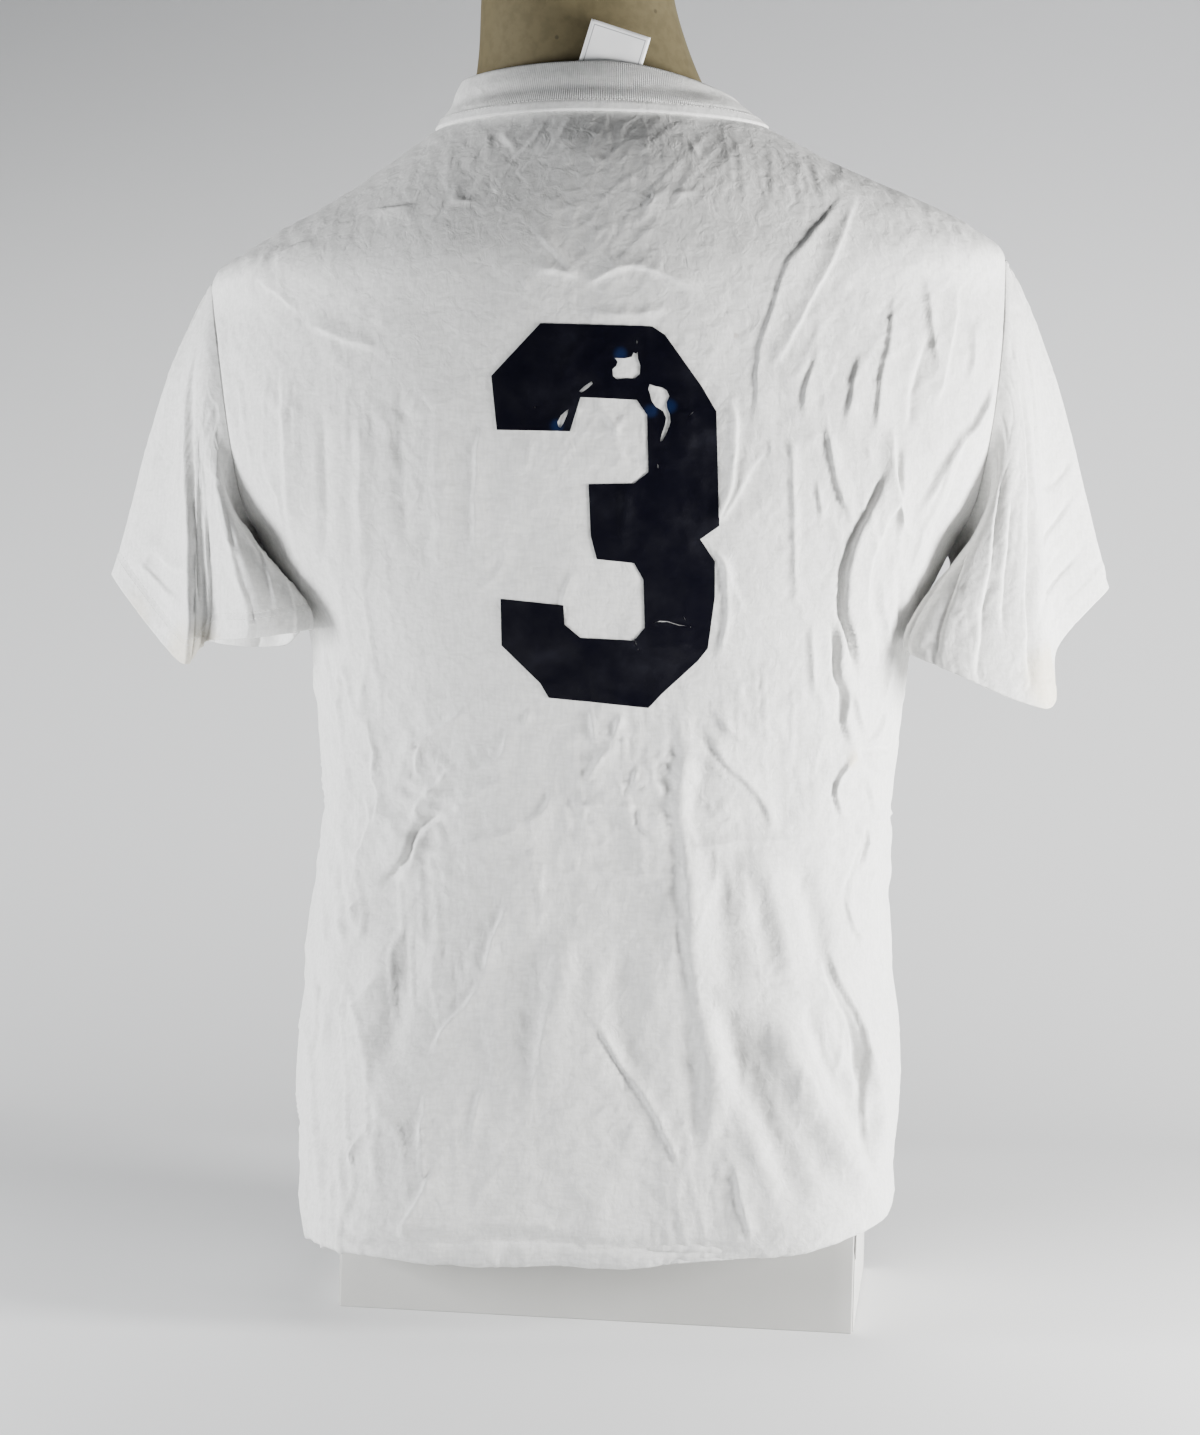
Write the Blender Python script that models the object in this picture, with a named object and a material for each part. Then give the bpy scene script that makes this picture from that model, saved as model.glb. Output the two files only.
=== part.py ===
"""Team t-shirt on a limbless dress form, standing on a low card box.

Metres, +Z up, floor at z = 0 under the middle of the box. The wearer faces -Y,
so the numbered back looks towards +Y and the wearer's left hand side is +X.

The shirt is modelled as a maker cuts it: back, front, two sleeves, a neck rib,
a neck label and one applied numeral. The body panels are sections stacked from
the hem, which is turned in over the box, up to the neckline and the shoulder
seams. Sleeves run from the armhole loop to the cuff loop, hanging empty.
"""
import math

import bmesh
import bpy
import numpy as np
from mathutils.bvhtree import BVHTree

# ---------------------------------------------------------------- sizes
JERSEY = 0.0016            # wall of the body panels and sleeves
RIB = 0.0024               # wall of the doubled neck rib
LABEL = 0.0010             # wall of the woven neck label
VINYL = 0.0008             # wall of the applied numeral
VINYL_LIFT = 0.0005        # how far the numeral lies off the cloth under it
SEAM_GAP = 0.0003          # clear space between two sewn pieces
RIB_BUTT = 0.0013          # the rib starts this far above the neckline's middle line
SLEEVE_BUTT = 0.0019       # and a sleeve this far outside the armhole's
COLUMNS = 18               # cells across a body panel
LONGEST_CELL = 0.048       # cells up a body panel are no longer than this

# ---------------------------------------------------------------- body panels
# One row per level, from the tucked hem up to the neck points.
#   zl, zr      height at the left and right side (side seam, armhole, shoulder)
#   xl, xr      reach of the left and right side
#   arm         how far the armhole edge stands back (or forward) of y = 0
#   zb, yb      height and depth of the middle of the back
#   zf, yf      height and depth of the middle of the front
#   turn        degrees the section turns by its side edge; 90 faces sideways
#   power       2 is an ellipse, more is squarer
LEVEL_COLUMNS = ("zl", "zr", "xl", "xr", "arm", "zb", "yb", "zf", "yf", "turn", "power")
LEVELS = (
    # turned-in hem, lying on the box
    (0.0775, 0.0775, 0.146, 0.146, 0.000, 0.0775, 0.106, 0.0775, 0.104, 90, 2.8),
    (0.0780, 0.0780, 0.166, 0.166, 0.000, 0.0780, 0.128, 0.0780, 0.122, 90, 3.5),
    (0.0740, 0.0765, 0.181, 0.182, 0.000, 0.0740, 0.1445, 0.0740, 0.133, 90, 4.4),
    (0.0640, 0.0745, 0.182, 0.184, 0.000, 0.0600, 0.1460, 0.0600, 0.135, 90, 4.4),
    # the roll, lowest on the wearer's left
    (0.0520, 0.0720, 0.183, 0.185, 0.000, 0.0470, 0.1470, 0.0470, 0.137, 90, 4.4),
    (0.0465, 0.0710, 0.185, 0.186, 0.000, 0.0420, 0.1505, 0.0420, 0.141, 90, 4.2),
    (0.0505, 0.0745, 0.187, 0.187, 0.000, 0.0465, 0.1540, 0.0465, 0.144, 90, 4.0),
    (0.0640, 0.0850, 0.189, 0.187, 0.000, 0.0620, 0.1550, 0.0620, 0.145, 90, 3.8),
    (0.0840, 0.0990, 0.191, 0.188, 0.000, 0.0840, 0.1520, 0.0840, 0.142, 90, 3.4),
    (0.1060, 0.1160, 0.194, 0.190, 0.000, 0.1060, 0.1450, 0.1060, 0.137, 90, 3.0),
    (0.1310, 0.1350, 0.196, 0.192, 0.000, 0.1310, 0.1360, 0.1310, 0.131, 90, 2.7),
    # hips, waist and ribs
    (0.1600, 0.1600, 0.195, 0.194, 0.000, 0.1600, 0.128, 0.1600, 0.124, 90, 2.5),
    (0.1900, 0.1900, 0.191, 0.191, 0.000, 0.1900, 0.120, 0.1900, 0.118, 90, 2.4),
    (0.2300, 0.2300, 0.189, 0.187, 0.000, 0.2300, 0.113, 0.2300, 0.113, 90, 2.3),
    (0.2700, 0.2700, 0.183, 0.184, 0.000, 0.2700, 0.108, 0.2700, 0.110, 90, 2.3),
    (0.3100, 0.3100, 0.180, 0.185, 0.000, 0.3100, 0.1065, 0.3100, 0.110, 90, 2.3),
    (0.3500, 0.3500, 0.184, 0.188, 0.000, 0.3500, 0.108, 0.3500, 0.113, 90, 2.3),
    (0.3900, 0.3900, 0.186, 0.191, 0.000, 0.3900, 0.112, 0.3900, 0.117, 90, 2.3),
    (0.4250, 0.4300, 0.193, 0.195, 0.000, 0.4270, 0.1155, 0.4270, 0.120, 90, 2.3),
    # armpit, armhole and shoulder tip
    (0.4700, 0.4780, 0.219, 0.216, 0.000, 0.4740, 0.120, 0.4640, 0.123, 90, 2.25),
    (0.5000, 0.5080, 0.232, 0.228, 0.034, 0.5040, 0.1225, 0.4900, 0.1245, 72, 2.2),
    (0.5450, 0.5560, 0.240, 0.236, 0.048, 0.5500, 0.1245, 0.5300, 0.1250, 64, 2.1),
    (0.6000, 0.6180, 0.249, 0.243, 0.036, 0.6050, 0.1225, 0.5740, 0.1230, 66, 2.05),
    (0.6400, 0.6660, 0.257, 0.247, 0.000, 0.6500, 0.1165, 0.6080, 0.1195, 90, 2.0),
    # shoulder seam up to the neck points
    (0.6620, 0.6850, 0.2295, 0.2240, 0.000, 0.6750, 0.109, 0.6320, 0.1155, 90, 2.0),
    (0.6870, 0.7000, 0.1870, 0.1930, 0.000, 0.7000, 0.099, 0.6560, 0.1100, 90, 2.0),
    (0.7130, 0.7180, 0.1490, 0.1480, 0.000, 0.7240, 0.086, 0.6770, 0.1040, 90, 2.0),
    (0.7400, 0.7450, 0.1136, 0.0922, 0.000, 0.7475, 0.0665, 0.6950, 0.0970, 90, 2.1),
)
ARMPIT_LEVEL = 19          # rows of LEVELS: here the armhole starts
TIP_LEVEL = 23             # and here it ends, at the tip of the shoulder

# The largest folds, as soft ridges (height > 0) and troughs (height < 0) that run
# from one end to the other: panel, x and z of both ends, half width, height.
FOLD_COLUMNS = ("panel", "x0", "z0", "x1", "z1", "half", "height")
FOLDS = (
    ("back", -0.178, 0.570, -0.150, 0.395, 0.016, -0.0050),
    ("back", -0.196, 0.560, -0.172, 0.330, 0.018, 0.0050),
    ("back", -0.160, 0.270, -0.172, 0.110, 0.020, 0.0035),
    ("back", -0.060, 0.370, -0.064, 0.120, 0.018, 0.0025),
    ("back", 0.128, 0.350, 0.160, 0.265, 0.014, -0.0040),
    ("back", 0.205, 0.560, 0.170, 0.420, 0.018, 0.0045),
    ("back", 0.090, 0.200, 0.120, 0.100, 0.020, 0.0025),
    ("front", -0.190, 0.550, -0.150, 0.400, 0.018, 0.0045),
    ("front", 0.196, 0.560, 0.160, 0.380, 0.018, 0.0045),
    ("front", 0.110, 0.330, 0.158, 0.240, 0.016, -0.0040),
    ("front", -0.120, 0.300, -0.166, 0.180, 0.018, 0.0035),
)

# ---------------------------------------------------------------- sleeves
# One row per run of cloth from armhole to cuff. 'around' is the place on the
# armhole loop (0 armpit, 0.5 shoulder tip, back first); the rest is the place on
# the cuff loop. The right sleeve's x is measured towards -X.
CUFF_COLUMNS = ("around", "x", "y", "z")
CUFFS = {
    "left": (
        (0.00, 0.1990, 0.003, 0.4190),
        (0.06, 0.1970, 0.034, 0.4220),
        (0.12, 0.1870, 0.062, 0.4250),
        (0.22, 0.2200, 0.076, 0.4190),
        (0.30, 0.2520, 0.050, 0.4150),
        (0.37, 0.2640, 0.056, 0.4010),
        (0.44, 0.2880, 0.022, 0.4180),
        (0.50, 0.3190, -0.012, 0.4530),
        (0.58, 0.3000, -0.044, 0.4400),
        (0.70, 0.2700, -0.064, 0.4120),
        (0.80, 0.2450, -0.052, 0.4070),
        (0.90, 0.2140, -0.046, 0.4080),
    ),
    "right": (
        (0.00, 0.2010, 0.003, 0.4220),
        (0.06, 0.1990, 0.034, 0.4220),
        (0.12, 0.1860, 0.062, 0.4190),
        (0.22, 0.2200, 0.074, 0.4040),
        (0.31, 0.2600, 0.066, 0.3880),
        (0.37, 0.2790, 0.050, 0.3870),
        (0.43, 0.2850, 0.014, 0.4200),
        (0.50, 0.3220, -0.016, 0.4580),
        (0.58, 0.3020, -0.046, 0.4420),
        (0.70, 0.2710, -0.062, 0.4140),
        (0.80, 0.2450, -0.050, 0.4100),
        (0.90, 0.2150, -0.044, 0.4120),
    ),
}
SLEEVE_COLUMNS = 26        # cells round a sleeve
SLEEVE_ROWS = 8            # cells from armhole to cuff
LEAVES_ARMPIT = (0.030, 0.010, -0.050)    # how the cloth sets off at the armpit
LEAVES_SIDES = (0.070, 0.0, -0.050)     # half way up the armhole
LEAVES_TIP = (0.085, 0.0, -0.100)       # and at the tip of the shoulder
REACHES_ARMPIT = (0.020, 0.0, -0.060)  # how it arrives at the cuff below the armpit
REACHES_CUFF = (0.030, 0.0, -0.090)     # and from half way up the armhole

# ---------------------------------------------------------------- neck
# How the doubled rib stands on the neckline: rise, and lean towards the neck.
# It leans on the form's neck at the wearer's left and falls over at the right.
RIB_AT_BACK = (0.0275, 0.0060)
RIB_AT_LEFT = (0.0270, 0.0150)
RIB_AT_RIGHT = (0.0110, 0.0170)
RIB_AT_FRONT = (0.0180, 0.0120)
RIB_COLUMNS = 44           # cells round the rib
RIB_ROWS = 3

LABEL_WIDE = 0.038
LABEL_TALL = 0.046
LABEL_X = 0.0130           # middle of the label's foot
LABEL_FOOT = 0.7535        # height of its foot, inside the rib
LABEL_TILT = math.radians(-16)

# ---------------------------------------------------------------- numeral
# A plain block 3 as read on the back: x grows to the reader's right, y is up,
# from the middle of its box. The notch at the right is where a crease tucks it.
NUMERAL_CENTRE = (0.0065, 0.5010)       # world x and z of that middle
NUMERAL = (
    (-0.0395, 0.1155), (0.0290, 0.1150), (0.0370, 0.1100), (0.0595, 0.0800),
    (0.0695, 0.0640), (0.0715, 0.0250), (0.0730, -0.0060), (0.0615, -0.0145),
    (0.0710, -0.0280), (0.0715, -0.0500), (0.0680, -0.0820), (0.0620, -0.0900),
    (0.0400, -0.1110), (0.0320, -0.1200), (0.0100, -0.1180), (-0.0300, -0.1150),
    (-0.0355, -0.1060), (-0.0600, -0.0830), (-0.0610, -0.0540), (-0.0220, -0.0570),
    (-0.0210, -0.0690), (-0.0110, -0.0770), (0.0220, -0.0780), (0.0285, -0.0700),
    (0.0270, -0.0400), (0.0210, -0.0300), (-0.0020, -0.0280), (-0.0060, -0.0140),
    (-0.0080, 0.0180), (0.0200, 0.0190), (0.0285, 0.0260), (0.0270, 0.0610),
    (0.0205, 0.0700), (-0.0140, 0.0710), (-0.0200, 0.0500), (-0.0650, 0.0500),
    (-0.0690, 0.0830),
)
NUMERAL_SCALE = 0.977      # the outline above times this is the pressed size
NUMERAL_CELL = 0.016       # the film is cut into cells this wide to follow the cloth
NUMERAL_CUTS = 8           # cuts to each side of the middle, enough to cross it all

# ---------------------------------------------------------------- dress form
# z, reach to the left and right, depth to the back and front, power.
FORM_COLUMNS = ("z", "xl", "xr", "yb", "yf", "power")
FORM = (
    (0.0753, 0.120, 0.120, 0.080, 0.080, 2.3),
    (0.0800, 0.132, 0.132, 0.090, 0.090, 2.3),
    (0.0900, 0.146, 0.146, 0.100, 0.100, 2.3),
    (0.1100, 0.160, 0.160, 0.109, 0.108, 2.3),
    (0.1500, 0.168, 0.168, 0.112, 0.110, 2.3),
    (0.2000, 0.165, 0.165, 0.106, 0.106, 2.3),
    (0.2500, 0.156, 0.156, 0.099, 0.102, 2.3),
    (0.3000, 0.150, 0.150, 0.096, 0.101, 2.3),
    (0.3500, 0.152, 0.152, 0.099, 0.104, 2.3),
    (0.4000, 0.158, 0.158, 0.105, 0.109, 2.3),
    (0.4500, 0.165, 0.165, 0.110, 0.114, 2.3),
    (0.5000, 0.175, 0.175, 0.115, 0.117, 2.2),
    (0.5500, 0.187, 0.187, 0.117, 0.116, 2.1),
    (0.5900, 0.198, 0.199, 0.115, 0.111, 2.05),
    (0.6200, 0.205, 0.208, 0.111, 0.106, 2.0),
    (0.6450, 0.208, 0.212, 0.105, 0.101, 2.0),
    (0.6600, 0.206, 0.212, 0.100, 0.098, 2.0),
    (0.6720, 0.200, 0.208, 0.096, 0.095, 2.0),
    (0.6820, 0.189, 0.200, 0.092, 0.089, 2.0),
    (0.6920, 0.174, 0.188, 0.088, 0.083, 2.0),
    (0.7020, 0.159, 0.172, 0.083, 0.076, 2.0),
    (0.7120, 0.145, 0.150, 0.078, 0.069, 2.0),
    (0.7240, 0.129, 0.121, 0.071, 0.062, 2.0),
    (0.7360, 0.1125, 0.0940, 0.063, 0.058, 2.0),
    (0.7480, 0.0995, 0.0720, 0.056, 0.057, 2.0),
    (0.7600, 0.0935, 0.0590, 0.052, 0.057, 2.0),
    (0.7720, 0.0915, 0.0520, 0.050, 0.058, 2.0),
    (0.7950, 0.0895, 0.0420, 0.048, 0.057, 2.0),
    (0.8220, 0.0890, 0.0335, 0.046, 0.056, 2.0),
    (0.8440, 0.0880, 0.0300, 0.044, 0.055, 2.0),
    (0.8520, 0.0830, 0.0250, 0.040, 0.051, 2.0),
    (0.8550, 0.0730, 0.0150, 0.031, 0.042, 2.0),
)
FORM_COLUMNS_ROUND = 36

# ---------------------------------------------------------------- card box
BOX_WIDE = 0.324
BOX_DEEP = 0.164
BOX_TALL = 0.075
BOX_MIDDLE = (-0.009, 0.0130)
BOX_YAW = math.radians(-7)


# ================================================================ small tools
def column(table, names, wanted):
    """One named column of a table, as an array."""
    return np.array([row[names.index(wanted)] for row in table], dtype=float)


def smooth(values, at):
    """Read a column between its rows with a cubic that never overshoots."""
    step = np.diff(values)
    slope = np.zeros(len(values))
    for i in range(1, len(values) - 1):
        if step[i - 1] * step[i] > 0:
            slope[i] = 2 * step[i - 1] * step[i] / (step[i - 1] + step[i])
    slope[0], slope[-1] = step[0], step[-1]
    i = min(int(at), len(values) - 2)
    f = at - i
    return (
        values[i] * (1 + 2 * f) * (1 - f) ** 2 + slope[i] * f * (1 - f) ** 2
        + values[i + 1] * f * f * (3 - 2 * f) + slope[i + 1] * f * f * (f - 1)
    )


def spaced(points, count, closed=False):
    """Even steps along a line of points: count + 1 of them, or count if closed."""
    line = np.vstack([points, points[:1]]) if closed else np.asarray(points)
    along = np.concatenate([[0], np.cumsum(np.linalg.norm(np.diff(line, axis=0), axis=1))])
    wanted = np.linspace(0, along[-1], count + 1)
    if closed:
        wanted = wanted[:-1]
    return np.stack([np.interp(wanted, along, line[:, k]) for k in range(3)], axis=1)


def unit(vectors):
    """Vectors of length one."""
    return vectors / np.maximum(np.linalg.norm(vectors, axis=-1, keepdims=True), 1e-12)


def grid_normals(grid, closed):
    """Normals of a grid of points; a closed grid wraps round along its rows.

    Where a side edge lies along y = 0, the normals there keep to that plane, so
    that two panels meet square to each other.
    """
    up = np.gradient(grid, axis=0)
    if closed:
        across = np.roll(grid, -1, axis=1) - np.roll(grid, 1, axis=1)
    else:
        across = np.gradient(grid, axis=1)
    normals = unit(np.cross(across, up))
    if not closed:
        for edge in (0, -1):
            flush = np.abs(grid[:, edge, 1]) < SEAM_GAP
            normals[flush, edge, 1] = 0
    return unit(normals)


def new_object(name, points, faces, material):
    """A closed mesh object with its faces turned outwards."""
    mesh = bpy.data.meshes.new(name)
    mesh.from_pydata([tuple(p) for p in points], [], faces)
    shape = bmesh.new()
    shape.from_mesh(mesh)
    bmesh.ops.triangulate(shape, faces=shape.faces)
    if shape.calc_volume(signed=True) < 0:
        bmesh.ops.reverse_faces(shape, faces=shape.faces)
    shape.to_mesh(mesh)
    shape.free()
    mesh.materials.append(material)
    mesh.shade_smooth()
    mesh.set_sharp_from_angle(angle=math.radians(50))
    thing = bpy.data.objects.new(name, mesh)
    bpy.context.collection.objects.link(thing)
    return thing


def wall(name, grid, thickness, material, closed=False):
    """A cloth wall round a grid of middle points, open or closed along its rows."""
    normals = grid_normals(grid, closed)
    rows, cols = grid.shape[:2]
    skins = [grid + normals * thickness / 2, grid - normals * thickness / 2]
    points = np.concatenate([skin.reshape(-1, 3) for skin in skins])
    inner = rows * cols

    def at(r, c):
        return r * cols + c % cols

    faces = []
    spans = cols if closed else cols - 1
    for r in range(rows - 1):
        for c in range(spans):
            a, b, d, e = at(r, c), at(r, c + 1), at(r + 1, c + 1), at(r + 1, c)
            faces.append((a, b, d, e))
            faces.append((inner + e, inner + d, inner + b, inner + a))
    for c in range(spans):
        for r, flip in ((0, True), (rows - 1, False)):
            rim = (at(r, c), at(r, c + 1), inner + at(r, c + 1), inner + at(r, c))
            faces.append(rim[::-1] if flip else rim)
    if not closed:
        for r in range(rows - 1):
            for c, flip in ((0, False), (cols - 1, True)):
                rim = (at(r, c), at(r + 1, c), inner + at(r + 1, c), inner + at(r, c))
                faces.append(rim[::-1] if flip else rim)
    return new_object(name, points, [face[::-1] for face in faces], material)


def material(name, colour, roughness, metallic=0.0):
    """A Principled material."""
    made = bpy.data.materials.new(name)
    made.use_nodes = True
    shader = made.node_tree.nodes["Principled BSDF"]
    shader.inputs["Base Color"].default_value = (*colour, 1.0)
    shader.inputs["Roughness"].default_value = roughness
    shader.inputs["Metallic"].default_value = metallic
    made.diffuse_color = (*colour, 1.0)
    return made


# ================================================================ body panels
def level(at):
    """Every named column of LEVELS at a place between its rows."""
    return {name: smooth(column(LEVELS, LEVEL_COLUMNS, name), at) for name in LEVEL_COLUMNS}


def half_section(side, row, facing, samples=60):
    """From the middle of a panel to one side edge: 'left' is +X, 'right' is -X."""
    back = side == "back"
    out = 1 if back else -1
    z_mid, y_mid = (row["zb"], row["yb"]) if back else (row["zf"], row["yf"])
    z_end, reach = (row["zl"], row["xl"]) if facing == "left" else (row["zr"], row["xr"])
    middle = (row["xl"] - row["xr"]) / 2
    half = (row["xl"] + row["xr"]) / 2
    lengthen = 1 if facing == "left" else -1
    y_end = row["arm"] + SEAM_GAP / 2
    last = math.radians(row["turn"])
    root = 2 / row["power"]
    turn = np.linspace(0, 1, samples) * last
    sideways = (np.sin(turn) / math.sin(last)) ** root
    inwards = (np.cos(turn) ** root - math.cos(last) ** root) / (1 - math.cos(last) ** root)
    x = middle + lengthen * half * sideways
    y = out * (y_end + (y_mid - y_end) * inwards)
    z = z_mid + (z_end - z_mid) * sideways ** 2
    assert abs(x[-1] - lengthen * reach) < 1e-6
    return np.stack([x, y, z], axis=1)


def section(side, at, count=COLUMNS):
    """One level of a panel, from the left edge to the right edge."""
    row = level(at)
    left = spaced(half_section(side, row, "left"), count // 2)
    right = spaced(half_section(side, row, "right"), count // 2)
    return np.vstack([left[::-1], right[1:]])


def panel_levels(side):
    """Places on LEVELS to cut a panel at: every row, and between rows that are far apart."""
    places = []
    rows = [section(side, at) for at in range(len(LEVELS))]
    for at in range(len(LEVELS) - 1):
        longest = np.linalg.norm(rows[at + 1] - rows[at], axis=1).max()
        cuts = max(1, math.ceil(longest / LONGEST_CELL))
        places += [at + k / cuts for k in range(cuts)]
    return places + [len(LEVELS) - 1]


def fold_depth(side, x, z):
    """How far the folds move a panel outwards at each x and z."""
    total = np.zeros_like(x)
    for values in FOLDS:
        fold = dict(zip(FOLD_COLUMNS, values))
        if fold["panel"] != side:
            continue
        run = np.array([fold["x1"] - fold["x0"], fold["z1"] - fold["z0"]])
        length = np.linalg.norm(run)
        along = ((x - fold["x0"]) * run[0] + (z - fold["z0"]) * run[1]) / length
        aside = ((x - fold["x0"]) * run[1] - (z - fold["z0"]) * run[0]) / length
        past_end = np.maximum(np.maximum(-along, along - length), 0)
        total += fold["height"] * np.exp(-(aside ** 2 + past_end ** 2) / fold["half"] ** 2)
    return total


def panel_grid(side):
    """The middle surface of a body panel, folds included, rows from hem to neck."""
    grid = np.array([section(side, at) for at in panel_levels(side)])
    normals = grid_normals(grid, False)
    if (normals[:, :, 1].sum() > 0) != (side == "back"):
        normals = -normals
    edge = np.abs(np.linspace(-1, 1, grid.shape[1]))
    calm = np.clip((1 - edge) / 0.15, 0, 1)[None, :]
    depth = fold_depth(side, grid[:, :, 0], grid[:, :, 2]) * calm
    return grid + normals * depth[:, :, None]


# ================================================================ sleeves
def armhole(facing):
    """The armhole loop: armpit, up the back edge, shoulder tip, down the front edge."""
    places = np.linspace(ARMPIT_LEVEL, TIP_LEVEL, 25)
    edge = 0 if facing == "left" else -1
    back = np.array([section("back", at)[edge] for at in places])
    front = np.array([section("front", at)[edge] for at in places])
    loop = np.vstack([back, front[::-1]])
    return loop


def along_loop(loop, around):
    """A point on the armhole: 0 and 1 are the armpit, 0.5 is the tip."""
    half = len(loop) // 2
    piece, f = (loop[:half], around * 2) if around <= 0.5 else (loop[half:], around * 2 - 1)
    steps = np.concatenate([[0], np.cumsum(np.linalg.norm(np.diff(piece, axis=0), axis=1))])
    return np.array([np.interp(f * steps[-1], steps, piece[:, k]) for k in range(3)])


def round_loop(places, values, wanted):
    """A smooth closed curve through values at places 0..1, read at the wanted places."""
    places = np.asarray(places)
    values = np.asarray(values)
    count = len(places)
    result = []
    for w in wanted:
        i = int(np.searchsorted(places, w, side="right") - 1)
        before, here, after, beyond = ((i + k) % count for k in (-1, 0, 1, 2))
        start = places[here]
        span = (places[after] - start) % 1 or 1
        f = ((w - start) % 1) / span
        gap_before = (start - places[before]) % 1
        gap_beyond = (places[beyond] - places[after]) % 1
        slope_here = (values[after] - values[before]) / (gap_before + span) * span
        slope_after = (values[beyond] - values[here]) / (span + gap_beyond) * span
        result.append(
            values[here] * (1 + 2 * f) * (1 - f) ** 2 + slope_here * f * (1 - f) ** 2
            + values[after] * f * f * (3 - 2 * f) + slope_after * f * f * (f - 1)
        )
    return np.array(result)


def sleeve_grid(facing, columns=SLEEVE_COLUMNS, rows=SLEEVE_ROWS):
    """The middle surface of a sleeve, rows from armhole to cuff."""
    out = 1 if facing == "left" else -1
    mirror = np.array([out, 1, 1])
    loop = armhole(facing)
    table = CUFFS[facing]
    wanted = np.arange(columns) / columns
    places = column(table, CUFF_COLUMNS, "around")
    cuff = np.array([[row[1], row[2], row[3]] for row in table]) * mirror
    cuff = round_loop(places, cuff, wanted)
    start = np.array([along_loop(loop, w) for w in wanted])
    armpit, tip = np.array(LEAVES_ARMPIT), np.array(LEAVES_TIP)
    sides = np.array(LEAVES_SIDES)
    rise = 1 - np.abs(wanted * 2 - 1)
    leave = np.array([
        armpit + (sides - armpit) * min(r * 2, 1) if r < 0.5 else sides + (tip - sides) * (r * 2 - 1)
        for r in rise
    ]) * mirror
    below, beyond = np.array(REACHES_ARMPIT), np.array(REACHES_CUFF)
    arrive = (below + (beyond - below) * np.minimum(rise * 2, 1)[:, None]) * mirror
    first = start + unit(leave) * SLEEVE_BUTT
    v = np.linspace(0, 1, rows + 1)[:, None, None]
    grid = (
        first * (1 + 2 * v) * (1 - v) ** 2 + leave * v * (1 - v) ** 2
        + cuff * v * v * (3 - 2 * v) + arrive * v * v * (v - 1)
    )
    return grid


# ================================================================ neck
def neckline(count):
    """The neckline loop, from the left neck point across the back and round the front."""
    top = len(LEVELS) - 1
    back = section("back", top, count)
    front = section("front", top, count)[::-1]
    return spaced(np.vstack([back, front]), count, closed=True)


def rib_grid(columns=RIB_COLUMNS, rows=RIB_ROWS):
    """The middle surface of the neck rib, from the neckline to its folded top edge."""
    loop = neckline(columns)
    middle = loop.mean(axis=0)
    away = loop - middle
    away[:, 2] = 0
    away = unit(away)
    backness = np.clip(away[:, 1], 0, 1) ** 2
    frontness = np.clip(-away[:, 1], 0, 1) ** 2
    leftness = np.clip(away[:, 0], 0, 1) ** 2
    rightness = np.clip(-away[:, 0], 0, 1) ** 2
    blend = [backness, leftness, rightness, frontness]
    kinds = [RIB_AT_BACK, RIB_AT_LEFT, RIB_AT_RIGHT, RIB_AT_FRONT]
    rise = sum(share * kind[0] for share, kind in zip(blend, kinds))
    lean = sum(share * kind[1] for share, kind in zip(blend, kinds))
    foot = loop + np.array([0, 0, RIB_BUTT])
    shift = np.stack([-away[:, 0] * lean, -away[:, 1] * lean, rise], axis=1)
    v = np.linspace(0, 1, rows + 1)[:, None, None]
    return foot + shift * v


def label_grid(columns=6, rows=4):
    """The neck label, bent like the rib that it is sewn behind."""
    top = rib_grid()[-1]
    behind = top[top[:, 1] > 0]
    behind = behind[np.argsort(behind[:, 0])]
    across = np.linspace(-0.5, 0.5, columns + 1) * LABEL_WIDE
    up = np.linspace(0, 1, rows + 1) * LABEL_TALL
    clear = RIB / 2 + LABEL / 2 + SEAM_GAP
    grid = np.zeros((rows + 1, columns + 1, 3))
    for r, u in enumerate(up):
        for c, a in enumerate(across):
            x = LABEL_X + a * math.cos(LABEL_TILT) + u * math.sin(LABEL_TILT)
            z = LABEL_FOOT - a * math.sin(LABEL_TILT) + u * math.cos(LABEL_TILT)
            y = np.interp(x, behind[:, 0], behind[:, 1]) - clear
            grid[r, c] = (x, y, z)
    return grid


# ================================================================ numeral
def depth_finder(panel):
    """A function that gives the y of a built panel's outer face at any x and z."""
    shape = bmesh.new()
    shape.from_mesh(panel.data)
    tree = BVHTree.FromBMesh(shape)
    shape.free()

    def depth(x, z):
        hit = tree.ray_cast((x, 1.0, z), (0, -1, 0))
        return hit[0].y
    return depth


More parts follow.
